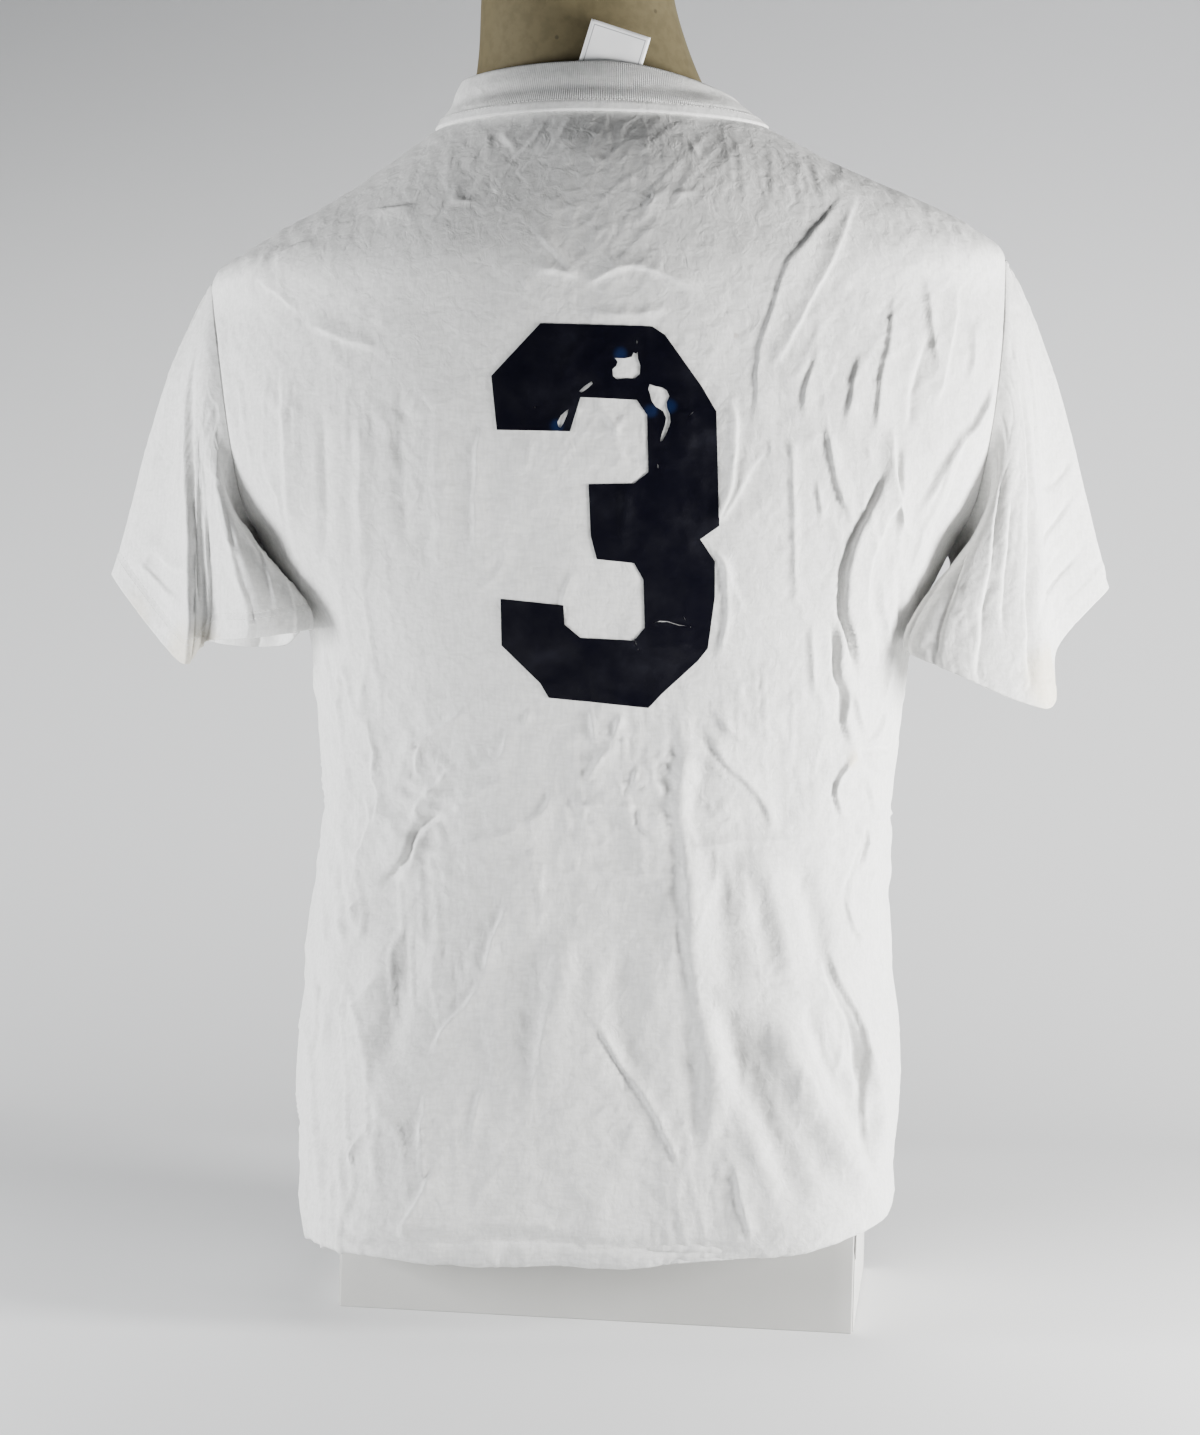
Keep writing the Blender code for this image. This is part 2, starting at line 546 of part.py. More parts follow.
def numeral_mesh(name, panel, made_of):
    """The numeral: its flat outline cut into cells, laid on the panel and thickened."""
    shape = bmesh.new()
    x_mid, z_mid = NUMERAL_CENTRE
    outline = [
        shape.verts.new((x_mid - x * NUMERAL_SCALE, 0, z_mid + y * NUMERAL_SCALE))
        for x, y in NUMERAL
    ]
    shape.faces.new(outline)
    for normal, centre in (((1, 0, 0), x_mid), ((0, 0, 1), z_mid)):
        for k in range(-NUMERAL_CUTS, NUMERAL_CUTS + 1):
            place = np.array(normal) * (centre + k * NUMERAL_CELL)
            geometry = shape.verts[:] + shape.edges[:] + shape.faces[:]
            bmesh.ops.bisect_plane(shape, geom=geometry, plane_co=place, plane_no=normal)
    bmesh.ops.triangulate(shape, faces=shape.faces)
    bmesh.ops.remove_doubles(shape, verts=shape.verts, dist=0.0008)
    depth = depth_finder(panel)
    shape.verts.ensure_lookup_table()
    flat = [(v.co.x, v.co.z) for v in shape.verts]
    skin = [[v.index for v in face.verts] for face in shape.faces]
    border = [[v.index for v in edge.verts] for edge in shape.edges if edge.is_boundary]
    shape.free()
    inner = [(x, depth(x, z) + VINYL_LIFT, z) for x, z in flat]
    outer = [(x, y + VINYL, z) for x, y, z in inner]
    count = len(flat)
    faces = [tuple(face) for face in skin]
    faces += [tuple(count + i for i in reversed(face)) for face in skin]
    directed = {(face[i], face[(i + 1) % len(face)]) for face in skin for i in range(len(face))}
    for a, b in border:
        if (a, b) not in directed:
            a, b = b, a
        faces.append((b, a, count + a, count + b))
    return new_object(name, inner + outer, faces, made_of)


# ================================================================ dress form
def form_ring(row, count):
    """One level of the dress form."""
    turn = np.linspace(0, 2 * math.pi, 240, endpoint=False)
    root = 2 / row["power"]
    c, s = np.cos(turn), np.sin(turn)
    half = (row["xl"] + row["xr"]) / 2
    x = (row["xl"] - row["xr"]) / 2 + half * np.sign(c) * np.abs(c) ** root
    y = np.where(s > 0, row["yb"], row["yf"]) * np.sign(s) * np.abs(s) ** root
    return spaced(np.stack([x, y, np.full_like(x, row["z"])], axis=1), count, closed=True)


def dress_form(made_of):
    """A limbless torso with a neck: closed rings, flat under its foot and on its cap."""
    rings = [form_ring(dict(zip(FORM_COLUMNS, row)), FORM_COLUMNS_ROUND) for row in FORM]
    points = [tuple(p) for ring in rings for p in ring]
    n = FORM_COLUMNS_ROUND
    faces = [tuple(range(n))[::-1], tuple(range(len(points) - n, len(points)))]
    for r in range(len(rings) - 1):
        for c in range(n):
            d = (c + 1) % n
            faces.append((r * n + c, r * n + d, (r + 1) * n + d, (r + 1) * n + c))
    return new_object("dress_form", points, faces, made_of)


def card_box(made_of):
    """The low box that the form stands on."""
    shape = bmesh.new()
    bmesh.ops.create_cube(shape, size=1.0)
    bmesh.ops.scale(shape, vec=(BOX_WIDE, BOX_DEEP, BOX_TALL), verts=shape.verts)
    mesh = bpy.data.meshes.new("card_box")
    shape.to_mesh(mesh)
    shape.free()
    mesh.materials.append(made_of)
    thing = bpy.data.objects.new("card_box", mesh)
    thing.location = (*BOX_MIDDLE, BOX_TALL / 2)
    thing.rotation_euler = (0, 0, BOX_YAW)
    bpy.context.collection.objects.link(thing)
    return thing


# ================================================================ the object
def build():
    for thing in list(bpy.data.objects):
        bpy.data.objects.remove(thing, do_unlink=True)
    cotton = material("cotton_jersey", (0.80, 0.80, 0.78), 0.90)
    rib = material("cotton_rib", (0.82, 0.82, 0.80), 0.90)
    woven = material("label_satin", (0.86, 0.86, 0.84), 0.60)
    navy = material("navy_vinyl", (0.006, 0.006, 0.014), 0.35)
    linen = material("form_skin", (0.16, 0.13, 0.078), 0.75)
    card = material("white_card", (0.62, 0.61, 0.58), 0.80)

    back = wall("back_panel", panel_grid("back"), JERSEY, cotton)
    wall("front_panel", panel_grid("front"), JERSEY, cotton)
    for facing in ("left", "right"):
        wall("sleeve_" + facing, sleeve_grid(facing), JERSEY, cotton, closed=True)
    wall("neck_rib", rib_grid(), RIB, rib, closed=True)
    wall("neck_label", label_grid(), LABEL, woven)
    numeral_mesh("numeral", back, navy)
    dress_form(linen)
    card_box(card)


build()
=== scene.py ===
# %% [markdown]
# # A worn team t-shirt on a dress form
#
# A white cotton t-shirt seen from behind, drawn over a limbless dress form that stands on
# a low card box, its hem tucked in under the form. The cloth is thin and washed soft, so
# the picture lives from many small creases, a ribbed neck, empty sleeves and a navy
# numeral whose film has cracked and flaked.
#
# Sizes are metres, +Z is up, the wearer faces -Y and the wearer's left is +X. The camera
# looks at the numbered back from +Y.

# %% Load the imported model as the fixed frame
import math

import bmesh
import bpy
import numpy as np
from mathutils import Matrix, Vector
from mathutils.bvhtree import BVHTree


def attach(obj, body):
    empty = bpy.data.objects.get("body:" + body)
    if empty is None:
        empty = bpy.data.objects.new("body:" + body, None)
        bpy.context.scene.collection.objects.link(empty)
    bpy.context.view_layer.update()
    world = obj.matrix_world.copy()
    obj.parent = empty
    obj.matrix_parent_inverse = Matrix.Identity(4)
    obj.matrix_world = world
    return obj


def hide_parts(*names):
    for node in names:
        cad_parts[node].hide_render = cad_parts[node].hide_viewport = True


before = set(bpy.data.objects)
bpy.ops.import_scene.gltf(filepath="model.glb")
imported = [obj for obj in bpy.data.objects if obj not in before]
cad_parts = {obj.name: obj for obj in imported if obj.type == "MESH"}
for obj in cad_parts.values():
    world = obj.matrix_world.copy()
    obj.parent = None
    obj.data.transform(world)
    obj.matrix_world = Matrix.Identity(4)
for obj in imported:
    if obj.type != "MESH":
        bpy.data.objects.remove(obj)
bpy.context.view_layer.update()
print("nodes:", ", ".join(sorted(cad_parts)))

# %% [markdown]
# ## The camera
#
# The camera comes first, because every later choice is judged through it. It stands two
# metres behind the form, a little above the waist. The picture is 1435 pixels tall and
# the lens sees one metre at one metre as 3120 of them, which gives the focal length.

# %% Make the camera
PICTURE_TALL = 1435
PIXELS_PER_METRE_AT_ONE = 3120
SENSOR_MM = 36.0
CAMERA_PLACE = (0.0045, 2.0, 0.526)
CAMERA_TIPS_DOWN = math.radians(4.5)
CAMERA_ROLLS = math.radians(1.2)

lens = bpy.data.cameras.new("camera")
lens.sensor_width = SENSOR_MM
lens.lens = SENSOR_MM * PIXELS_PER_METRE_AT_ONE / PICTURE_TALL
camera = bpy.data.objects.new("camera", lens)
bpy.context.collection.objects.link(camera)
faces_back = Matrix.Rotation(math.pi, 4, "Z")
tips = Matrix.Rotation(math.pi / 2 - CAMERA_TIPS_DOWN, 4, "X")
rolls = Matrix.Rotation(CAMERA_ROLLS, 4, "Z")
camera.matrix_world = Matrix.Translation(CAMERA_PLACE) @ faces_back @ tips @ rolls
bpy.context.scene.camera = camera
print(f"lens {lens.lens:.1f} mm")

# %% [markdown]
# ## Tables and curves
#
# The shapes below are written as small tables of text, which one reader turns into
# numbers. A ramp, a bell and a cubic with a slope at each end are shared by everything.

# %% Read tables and curves
def numbers(text):
    """The rows of a table; a word like 12,34 is a point, and '#' starts a remark."""
    table = []
    for line in text.splitlines():
        words = line.split("#")[0].split()
        row = [tuple(map(float, w.split(","))) if "," in w else float(w) for w in words]
        if row:
            table.append(row)
    return table


def ramp(value, start, span):
    """From 0 at the start to 1 after the span, which may run downwards."""
    return np.clip((value - start) / span, 0, 1)


def soft(share):
    """A share with soft shoulders at 0 and 1."""
    return share * share * (3 - 2 * share)


def bell(value, centre, wide):
    """1 at the centre, fading to both sides."""
    return np.exp(-((value - centre) / wide) ** 2)


def cubic(start, end, leave, arrive, f):
    """From start to end with a slope at each, read at a share f of the way."""
    return (
        start * (1 + 2 * f) * (1 - f) ** 2 + leave * f * (1 - f) ** 2
        + end * f * f * (3 - 2 * f) + arrive * f * f * (f - 1)
    )


def run_of(points, axis=0):
    """How far along a line of points each one is, or along each line of a grid."""
    gaps = np.linalg.norm(np.diff(points, axis=axis), axis=-1)
    return np.cumsum(np.insert(gaps, 0, 0, axis=axis), axis=axis)


def read_line(points, along, wanted):
    """A line of points read at wanted distances along it."""
    return np.stack([np.interp(wanted, along, points[:, k]) for k in range(3)], axis=-1)


def unit(vectors):
    """Vectors of length one."""
    return vectors / np.maximum(np.linalg.norm(vectors, axis=-1, keepdims=True), 1e-12)


# %% [markdown]
# ## Shader helpers
#
# Every finish is a small tree of nodes that ends in one Principled shader. The patterns
# read Object coordinates in metres, so a scale of 1000 means one millimetre.

# %% Make a finish and add nodes to it
def finish(name, colour, roughness, **sockets):
    """A new material; sockets are other plain numbers on its Principled shader."""
    made = bpy.data.materials.new(name)
    made.use_nodes = True
    inputs = made.node_tree.nodes["Principled BSDF"].inputs
    inputs["Base Color"].default_value = (*colour, 1.0)
    inputs["Roughness"].default_value = roughness
    for socket, value in sockets.items():
        inputs[socket.replace("_", " ")].default_value = value
    made.diffuse_color = (*colour, 1.0)
    return made


def add(made, kind, inputs, output=0, **settings):
    """One more node; inputs maps a socket to a number, a colour or another socket."""
    node = made.node_tree.nodes.new("ShaderNode" + kind)
    for key, value in settings.items():
        setattr(node, key, value)
    for key, value in inputs.items():
        if isinstance(value, bpy.types.NodeSocket):
            made.node_tree.links.new(value, node.inputs[key])
        else:
            node.inputs[key].default_value = value
    return node.outputs[output]


def wire(made, socket, source):
    """Lead a socket into the finish's shader."""
    shader = made.node_tree.nodes["Principled BSDF"]
    made.node_tree.links.new(source, shader.inputs[socket])


def here(made):
    """Where a point of the piece is."""
    return add(made, "TexCoord", {}, "Object")


def noise(made, place, scale, detail, **more):
    """Cloudy noise around 0.5."""
    return add(made, "TexNoise", {"Vector": place, "Scale": scale, "Detail": detail, **more})


def bump(made, height, strength, distance, **under):
    """Tilt the shader's normal by a height; Normal= gives a bump that lies under it."""
    normal = add(made, "Bump", {"Height": height, "Strength": strength, "Distance": distance,
                                **under})
    wire(made, "Normal", normal)
    return normal


def blend_colour(made, share, first, second):
    """Two colours, or sockets, mixed by a share from 0 to 1."""
    pair = {6: first, 7: second}
    for index, value in pair.items():
        if isinstance(value, tuple):
            pair[index] = (*value, 1.0)
    return add(made, "Mix", {0: share, **pair}, 2, data_type="RGBA")


def steps(made, source, low, high, start=0.0, end=1.0):
    """Read a value between low and high as start to end, with soft shoulders."""
    return add(made, "MapRange", {"Value": source, "From Min": low, "From Max": high,
                                  "To Min": start, "To Max": end},
               interpolation_type="SMOOTHSTEP")


def spot(made, place, colour_below, centre, radius, tint, share):
    """A soft round patch, a stain or a painted highlight: tint over the colour below, strongest at
    its centre.
    """
    far = add(made, "VectorMath", {0: place, 1: centre}, "Value", operation="DISTANCE")
    strength = steps(made, far, radius * 0.45, radius, share, 0.0)
    return blend_colour(made, strength, colour_below, tint)


# %% [markdown]
# ## Finish: washed cotton jersey
#
# The cloth is white single jersey, washed many times: a fine knit close up, mottled from
# a step back, and a little yellow at the cuffs. Sheen lets the light die softly at
# grazing angles. Wales and courses show as faint grey streaks. The knit is a bump of
# noise stretched upwards, because lines as fine as real wales would flicker. The spots
# are where the real shirt has them.

# %% Make the jersey
WARM_WHITE = (0.745, 0.740, 0.720)
COOL_WHITE = (0.790, 0.792, 0.785)
STREAK_GREY = (0.60, 0.60, 0.585)
STREAKS_UP = (1.0, 1.0, 0.22)
STREAKS_ACROSS = (0.22, 1.0, 1.0)
KNIT_UP = (1.0, 1.0, 0.45)
BROWN = (0.20, 0.09, 0.04)
INK = (0.03, 0.03, 0.035)
YELLOW = (0.62, 0.52, 0.30)
SPOTS = (
    # centre, radius, tint, strength
    ((0.160, 0.107, 0.662), 0.0030, BROWN, 0.85),
    ((0.186, 0.105, 0.597), 0.0013, INK, 0.70),
    ((0.034, 0.123, 0.491), 0.0014, INK, 0.80),
    ((-0.072, 0.115, 0.609), 0.0026, BROWN, 0.35),
    ((0.177, 0.080, 0.386), 0.0018, BROWN, 0.40),
    ((-0.158, 0.075, 0.352), 0.0110, YELLOW, 0.45),
    ((0.258, 0.045, 0.405), 0.0300, YELLOW, 0.30),
    ((-0.276, 0.050, 0.402), 0.0300, YELLOW, 0.38),
    ((0.300, 0.000, 0.425), 0.0260, YELLOW, 0.22),
)


def cotton(name, knit_deep):
    """White washed cotton; knit_deep is how deep its fine texture is, in metres."""
    made = finish(name, WARM_WHITE, 0.93, Sheen_Weight=0.12, Sheen_Roughness=0.6,
                  Specular_IOR_Level=0.25)
    place = here(made)
    tone = blend_colour(made, noise(made, place, 9.0, 3.0), WARM_WHITE, COOL_WHITE)
    for stretched in (STREAKS_UP, STREAKS_ACROSS):
        pulled = add(made, "Mapping", {"Vector": place, "Scale": stretched})
        fleck = steps(made, noise(made, pulled, 520.0, 2.0), 0.40, 0.68, 0.0, 0.42)
        tone = blend_colour(made, fleck, tone, STREAK_GREY)
    for stain in SPOTS:
        tone = spot(made, place, tone, *stain)
    wire(made, "Base Color", tone)
    crushed = bump(made, noise(made, place, 110.0, 3.0, Distortion=0.6), 0.8, 0.0011)
    pulled = add(made, "Mapping", {"Vector": place, "Scale": KNIT_UP})
    bump(made, noise(made, pulled, 900.0, 2.0), 0.5, knit_deep, Normal=crushed)
    return made


JERSEY_FINISH = cotton("washed_jersey", 0.00016)
RIB_FINISH = cotton("neck_rib_cotton", 0.00010)
THREAD_FINISH = finish("sewing_thread", (0.80, 0.80, 0.78), 0.7, Sheen_Weight=0.2)
print("cotton finishes:", JERSEY_FINISH.name, RIB_FINISH.name, THREAD_FINISH.name)

# %% [markdown]
# ## The cut of the shirt, level by level
#
# A body panel is a stack of levels, as a pattern maker would measure it on the form: how
# far each side reaches, how deep the middle is, and how high the level runs there. They
# are the CAD model's levels, so the fine cloth lies where its solid lies.

# %% Name the levels of the body
# z is a height, x and y are reaches from the middle; l and r stand for the side edges, b
# and f for the middle of the back and front. In the armhole the panels part: there arm is
# how far an edge is from y = 0, and turn how far round its oval a row runs, in degrees.
LEVEL_COLUMNS = "zl zr xl xr arm zb yb zf yf turn power".split()
LEVELS = numbers("""
# turned-in hem, lying on the box
.0775 .0775 .146 .146 0 .0775 .106 .0775 .104 90 2.8
.078 .078 .166 .166 0 .078 .128 .078 .122 90 3.5
.074 .0765 .181 .182 0 .074 .1445 .074 .133 90 4.4
.064 .0745 .182 .184 0 .06 .146 .06 .135 90 4.4
# the roll, lowest on the wearer's left
.052 .072 .183 .185 0 .047 .147 .047 .137 90 4.4
.0465 .071 .185 .186 0 .042 .1505 .042 .141 90 4.2
.0505 .0745 .187 .187 0 .0465 .154 .0465 .144 90 4
.064 .085 .189 .187 0 .062 .155 .062 .145 90 3.8
.084 .099 .191 .188 0 .084 .152 .084 .142 90 3.4
.106 .116 .194 .19 0 .106 .145 .106 .137 90 3
.131 .135 .196 .192 0 .131 .136 .131 .131 90 2.7
# hips, waist and ribs
.16 .16 .195 .194 0 .16 .128 .16 .124 90 2.5
.19 .19 .191 .191 0 .19 .12 .19 .118 90 2.4
.23 .23 .189 .187 0 .23 .113 .23 .113 90 2.3
.27 .27 .183 .184 0 .27 .108 .27 .11 90 2.3
.31 .31 .18 .185 0 .31 .1065 .31 .11 90 2.3
.35 .35 .184 .188 0 .35 .108 .35 .113 90 2.3
.39 .39 .186 .191 0 .39 .112 .39 .117 90 2.3
.425 .43 .193 .195 0 .427 .1155 .427 .12 90 2.3
# armpit, armhole and shoulder tip
.47 .478 .219 .216 0 .474 .12 .464 .123 90 2.25
.5 .508 .232 .228 .034 .504 .1225 .49 .1245 72 2.2
.545 .556 .24 .236 .048 .55 .1245 .53 .125 64 2.1
.6 .618 .249 .243 .036 .605 .1225 .574 .123 66 2.05
.64 .666 .257 .247 0 .65 .1165 .608 .1195 90 2
# shoulder seam up to the neck points
.662 .685 .2295 .224 0 .675 .109 .632 .1155 90 2
.687 .7 .187 .193 0 .7 .099 .656 .11 90 2
.713 .718 .149 .148 0 .724 .086 .677 .104 90 2
.74 .745 .1136 .0922 0 .7475 .0665 .695 .097 90 2.1
""")
ARMPIT_LEVEL = 19
TIP_LEVEL = 23


def column(table, names, wanted):
    """One named column of a table, as an array."""
    return np.array([row[names.index(wanted)] for row in table], dtype=float)


def smooth(values, at):
    """Read a column between its rows with a cubic that never overshoots."""
    step = np.diff(values)
    slope = np.zeros(len(values))
    for i in range(1, len(values) - 1):
        if step[i - 1] * step[i] > 0:
            slope[i] = 2 * step[i - 1] * step[i] / (step[i - 1] + step[i])
    slope[0], slope[-1] = step[0], step[-1]
    i = min(int(at), len(values) - 2)
    return cubic(values[i], values[i + 1], slope[i], slope[i + 1], at - i)


def level(table, names, at):
    """Every named column of a table at a place between its rows."""
    return {name: smooth(column(table, names, name), at) for name in names}


print(len(LEVELS), "levels from the hem to the neck points")

# %% [markdown]
# ## From one level to a row of points
#
# Each level is half an oval, flattened or squared by its power. It is walked in even
# steps, so the cells are all under 2 mm across and 2.7 mm up: fine enough for creases of
# a few millimetres, with under 200,000 triangles a panel.

# %% Walk a level in even steps
CELLS_ACROSS = 276
CELL_UP = 0.0027
HALF_SAMPLES = 260
SMOOTHINGS = 12


def spaced(points, count, closed=False):
    """Even steps along a line of points: count + 1 of them, or count if closed."""
    line = np.vstack([points, points[:1]]) if closed else np.asarray(points)
    along = run_of(line)
    wanted = np.linspace(0, along[-1], count + 1)
    return read_line(line, along, wanted[:-1] if closed else wanted)


def half_section(side, row, facing):
    """From the middle of a panel to one side edge: 'left' is +X, 'right' is -X."""
    y_mid, z_mid, z_end = row["y" + side[0]], row["z" + side[0]], row["z" + facing[0]]
    middle = (row["xl"] - row["xr"]) / 2
    half = (row["xl"] + row["xr"]) / 2
    last = math.radians(min(row["turn"], 89.999))
    root = 2 / row["power"]
    turn = np.linspace(0, 1, HALF_SAMPLES) * last
    sideways = (np.sin(turn) / math.sin(last)) ** root
    inwards = (np.cos(turn) ** root - math.cos(last) ** root) / (1 - math.cos(last) ** root)
    x = middle + (half if facing == "left" else -half) * sideways
    y = (1 if side == "back" else -1) * (row["arm"] + (y_mid - row["arm"]) * inwards)
    return np.stack([x, y, z_mid + (z_end - z_mid) * sideways ** 2], axis=1)


def section(side, at, count):
    """One level of a panel, from the left edge to the right edge."""
    row = level(LEVELS, LEVEL_COLUMNS, at)
    left, right = (spaced(half_section(side, row, facing), count // 2)
                   for facing in ("left", "right"))
    return np.vstack([left[::-1], right[1:]])


def panel_grid(side):
    """The smooth surface of a body panel, rows from hem to neck."""
    coarse = [section(side, at, 24) for at in range(len(LEVELS))]
    places = []
    for at in range(len(LEVELS) - 1):
        longest = np.linalg.norm(coarse[at + 1] - coarse[at], axis=1).mean()
        cuts = max(2, math.ceil(longest / CELL_UP))
        places += [at + k / cuts for k in range(cuts)]
    places.append(len(LEVELS) - 1)
    grid = np.array([section(side, at, CELLS_ACROSS) for at in places])
    for _ in range(SMOOTHINGS):
        grid[1:-1] = grid[1:-1] * 0.5 + (grid[:-2] + grid[2:]) * 0.25
    return grid


BACK_GRID = panel_grid("back")
FRONT_GRID = panel_grid("front")
print("back panel grid", BACK_GRID.shape[:2], "front panel grid", FRONT_GRID.shape[:2])

# %% [markdown]
# ## Normals and meshes from a grid
#
# Everything sewn starts as a grid of points. It becomes one skin where the inside is never seen, or
# two skins with a rim. Every piece rides on the one body, carries its material and may stand for a
# CAD node.

# %% Turn grids into pieces
def outward(grid, closed=False):
    """The way the cloth faces at each point of a grid; away from the wearer."""
    if closed:
        across = np.roll(grid, -1, axis=1) - np.roll(grid, 1, axis=1)
    else:
        across = np.gradient(grid, axis=1)
    return unit(np.cross(across, np.gradient(grid, axis=0)))


def grid_faces(rows, cols, closed, first=0, flip=False):
    """Quads of a grid whose points start at number first."""
    r = np.arange(rows - 1)[:, None]
    c = np.arange(cols if closed else cols - 1)[None, :]
    d = (c + 1) % cols
    quads = np.stack([r * cols + c, r * cols + d, (r + 1) * cols + d, (r + 1) * cols + c], axis=-1)
    quads = quads.reshape(-1, 4) + first
    return quads[:, ::-1] if flip else quads


def rim_faces(ring_a, ring_b, closed):
    """Quads between two lines of point numbers."""
    if closed:
        ring_a, ring_b = np.append(ring_a, ring_a[0]), np.append(ring_b, ring_b[0])
    return np.stack([ring_a[:-1], ring_a[1:], ring_b[1:], ring_b[:-1]], axis=-1)


def settle(name, mesh, made_of, sharp=None):
    """An object for a mesh, smooth apart from edges sharper than an angle."""
    mesh.materials.append(made_of)
    mesh.shade_smooth()
    if sharp:
        mesh.set_sharp_from_angle(angle=math.radians(sharp))
    thing = bpy.data.objects.new(name, mesh)
    bpy.context.collection.objects.link(thing)
    return thing


def piece(name, points, faces, made_of):
    """A named mesh object with smooth shading."""
    mesh = bpy.data.meshes.new(name)
    mesh.from_pydata(np.asarray(points).tolist(), [], [list(face) for face in faces])
    mesh.validate()
    return settle(name, mesh, made_of)


def from_bmesh(name, shape, made_of, sharp):
    """A named object from a bmesh, which is freed."""
    mesh = bpy.data.meshes.new(name)
    shape.to_mesh(mesh)
    shape.free()
    return settle(name, mesh, made_of, sharp)


def fit(thing, node=None):
    """Fix a piece to the body and hide the CAD node that it stands for."""
    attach(thing, "root")
    if node:
        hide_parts(node)
    return thing


def cloth(name, grid, made_of, thick=None, closed=False):
    """Cloth over a grid: one skin, or two skins that are thick apart, with rims."""
    rows, cols = grid.shape[:2]
    if thick is None:
        return piece(name, grid.reshape(-1, 3), grid_faces(rows, cols, closed).tolist(), made_of)
    thick = np.broadcast_to(np.asarray(thick, dtype=float), (rows, cols))[:, :, None]
    facing = outward(grid, closed)
    points = np.concatenate([
        (grid + facing * thick / 2).reshape(-1, 3), (grid - facing * thick / 2).reshape(-1, 3),
    ])
    inner = rows * cols
    index = np.arange(inner).reshape(rows, cols)
    faces = [grid_faces(rows, cols, closed), grid_faces(rows, cols, closed, inner, True)]
    faces.append(rim_faces(index[0], index[0] + inner, closed)[:, ::-1])
    faces.append(rim_faces(index[-1], index[-1] + inner, closed))
    if not closed:
        faces.append(rim_faces(index[:, 0], index[:, 0] + inner, False))
        faces.append(rim_faces(index[:, -1], index[:, -1] + inner, False)[:, ::-1])
    return piece(name, points, np.concatenate(faces).tolist(), made_of)


print("back panel faces outwards:", bool(outward(BACK_GRID)[..., 1].mean() > 0))

# %% [markdown]
# ## What a crease is
#
# A crease in washed jersey is a low ridge or trough that follows a bent line, dies away at both
# ends, and pushes its neighbours a little the other way. A row of a crease table is a half width, a
# height, a lean and a line of points, in millimetres.
# The lean makes one flank steeper; a height below zero is a trough. The cloth's
# coordinates are first nudged by soft random hills, because no crease runs quite straight.

# %% Soft random hills and listed creases
CREASE_WIDE = 0.85
CREASE_HIGH = 1.45
BROAD_HIGH = 2.0
CREASE_REACH = 4.5
CREASE_REACH_MORE = 0.004
NARROW_MM = 3.6
BROAD_MM = 6.0
NET = 64


def hills(x, y, seed, size=1.0):
    """Soft random hills from -1 to 1, each about size across."""
    net = np.random.default_rng(seed).uniform(-1, 1, (NET, NET))
    u, v = x / size, y / size
    i, j = np.floor(u).astype(int), np.floor(v).astype(int)
    f, g = u - i, v - j
    f, g = f ** 3 * (f * (6 * f - 15) + 10), g ** 3 * (g * (6 * g - 15) + 10)
    low, high = (net[i % NET, at % NET] * (1 - f) + net[(i + 1) % NET, at % NET] * f
                 for at in (j, j + 1))
    return low * (1 - g) + high * g


def bent_line(points, count):
    """A smooth line through a few points."""
    points = np.asarray(points, dtype=float)
    if len(points) == 2:
        return points[0] + (points[1] - points[0]) * np.linspace(0, 1, count)[:, None]
    along = run_of(points)
    slope = np.gradient(points, along, axis=0)
    wanted = np.linspace(0, along[-1], count)
    i = np.clip(np.searchsorted(along, wanted, side="right") - 1, 0, len(points) - 2)
    span = (along[i + 1] - along[i])[:, None]
    f = (wanted - along[i])[:, None] / span
    return cubic(points[i], points[i + 1], slope[i] * span, slope[i + 1] * span, f)


def beside(x, z, line, reach):
    """Points near a line: which they are, the gap to it, how far aside and along they are."""
    near = (x > line[:, 0].min() - reach) & (x < line[:, 0].max() + reach)
    near &= (z > line[:, 1].min() - reach) & (z < line[:, 1].max() + reach)
    spots = np.stack([x[near], z[near]], axis=1)
    best = np.full(len(spots), np.inf)
    gap = np.zeros_like(spots)
    aside = np.zeros(len(spots))
    along = np.zeros(len(spots))
    for k in range(len(line) - 1):
        run = line[k + 1] - line[k]
        offset = spots - line[k]
        share = np.clip(offset @ run / (run @ run), 0, 1)
        off_line = offset - share[:, None] * run
        far = np.hypot(off_line[:, 0], off_line[:, 1])
        closer = far < best
        best[closer] = far[closer]
        gap[closer] = off_line[closer]
        side = np.sign(run[0] * offset[:, 1] - run[1] * offset[:, 0])
        aside[closer] = (far * side)[closer]
        along[closer] = ((k + share) / (len(line) - 1))[closer]
    return near, gap, aside, along


def fading(line, wide, along):
    """From 0 at a crease's ends to 1 in its run."""
    length = np.linalg.norm(np.diff(line, axis=0), axis=1).sum()
    taper = min(0.5, 2.6 * wide / length + 0.16)
    return soft(np.clip(np.minimum(along, 1 - along) / taper, 0, 1))


def profile(aside, wide, lean):
    """A crease cut across: a crisp crest with a long gentle flank and a short steep one."""
    broad = ramp(wide * 1000, 3.6, 2)
    steep = (0.80 - 0.75 * abs(lean)) * (1 - broad) + 1.1 * broad
    gentle = (1.2 + 3.4 * abs(lean)) * (1 - broad) + 1.3 * broad
    sharp_side = aside * (1 if lean >= 0 else -1) > 0
    u = np.abs(aside) / wide / np.where(sharp_side, steep, gentle)
    foot = bell(u, 1.7, 0.7) * np.where(sharp_side, 0.22, 0.06)
    return np.exp(-u ** (1.3 + 0.7 * broad)) - foot


def wobbly(x, z):
    """The same places nudged a little, so no crease runs quite straight."""
    return [at + 0.0016 * hills(x, z, seed, 0.030) + 0.0005 * hills(x, z, seed + 2, 0.009)
            for at, seed in ((x, 5), (z, 6))]


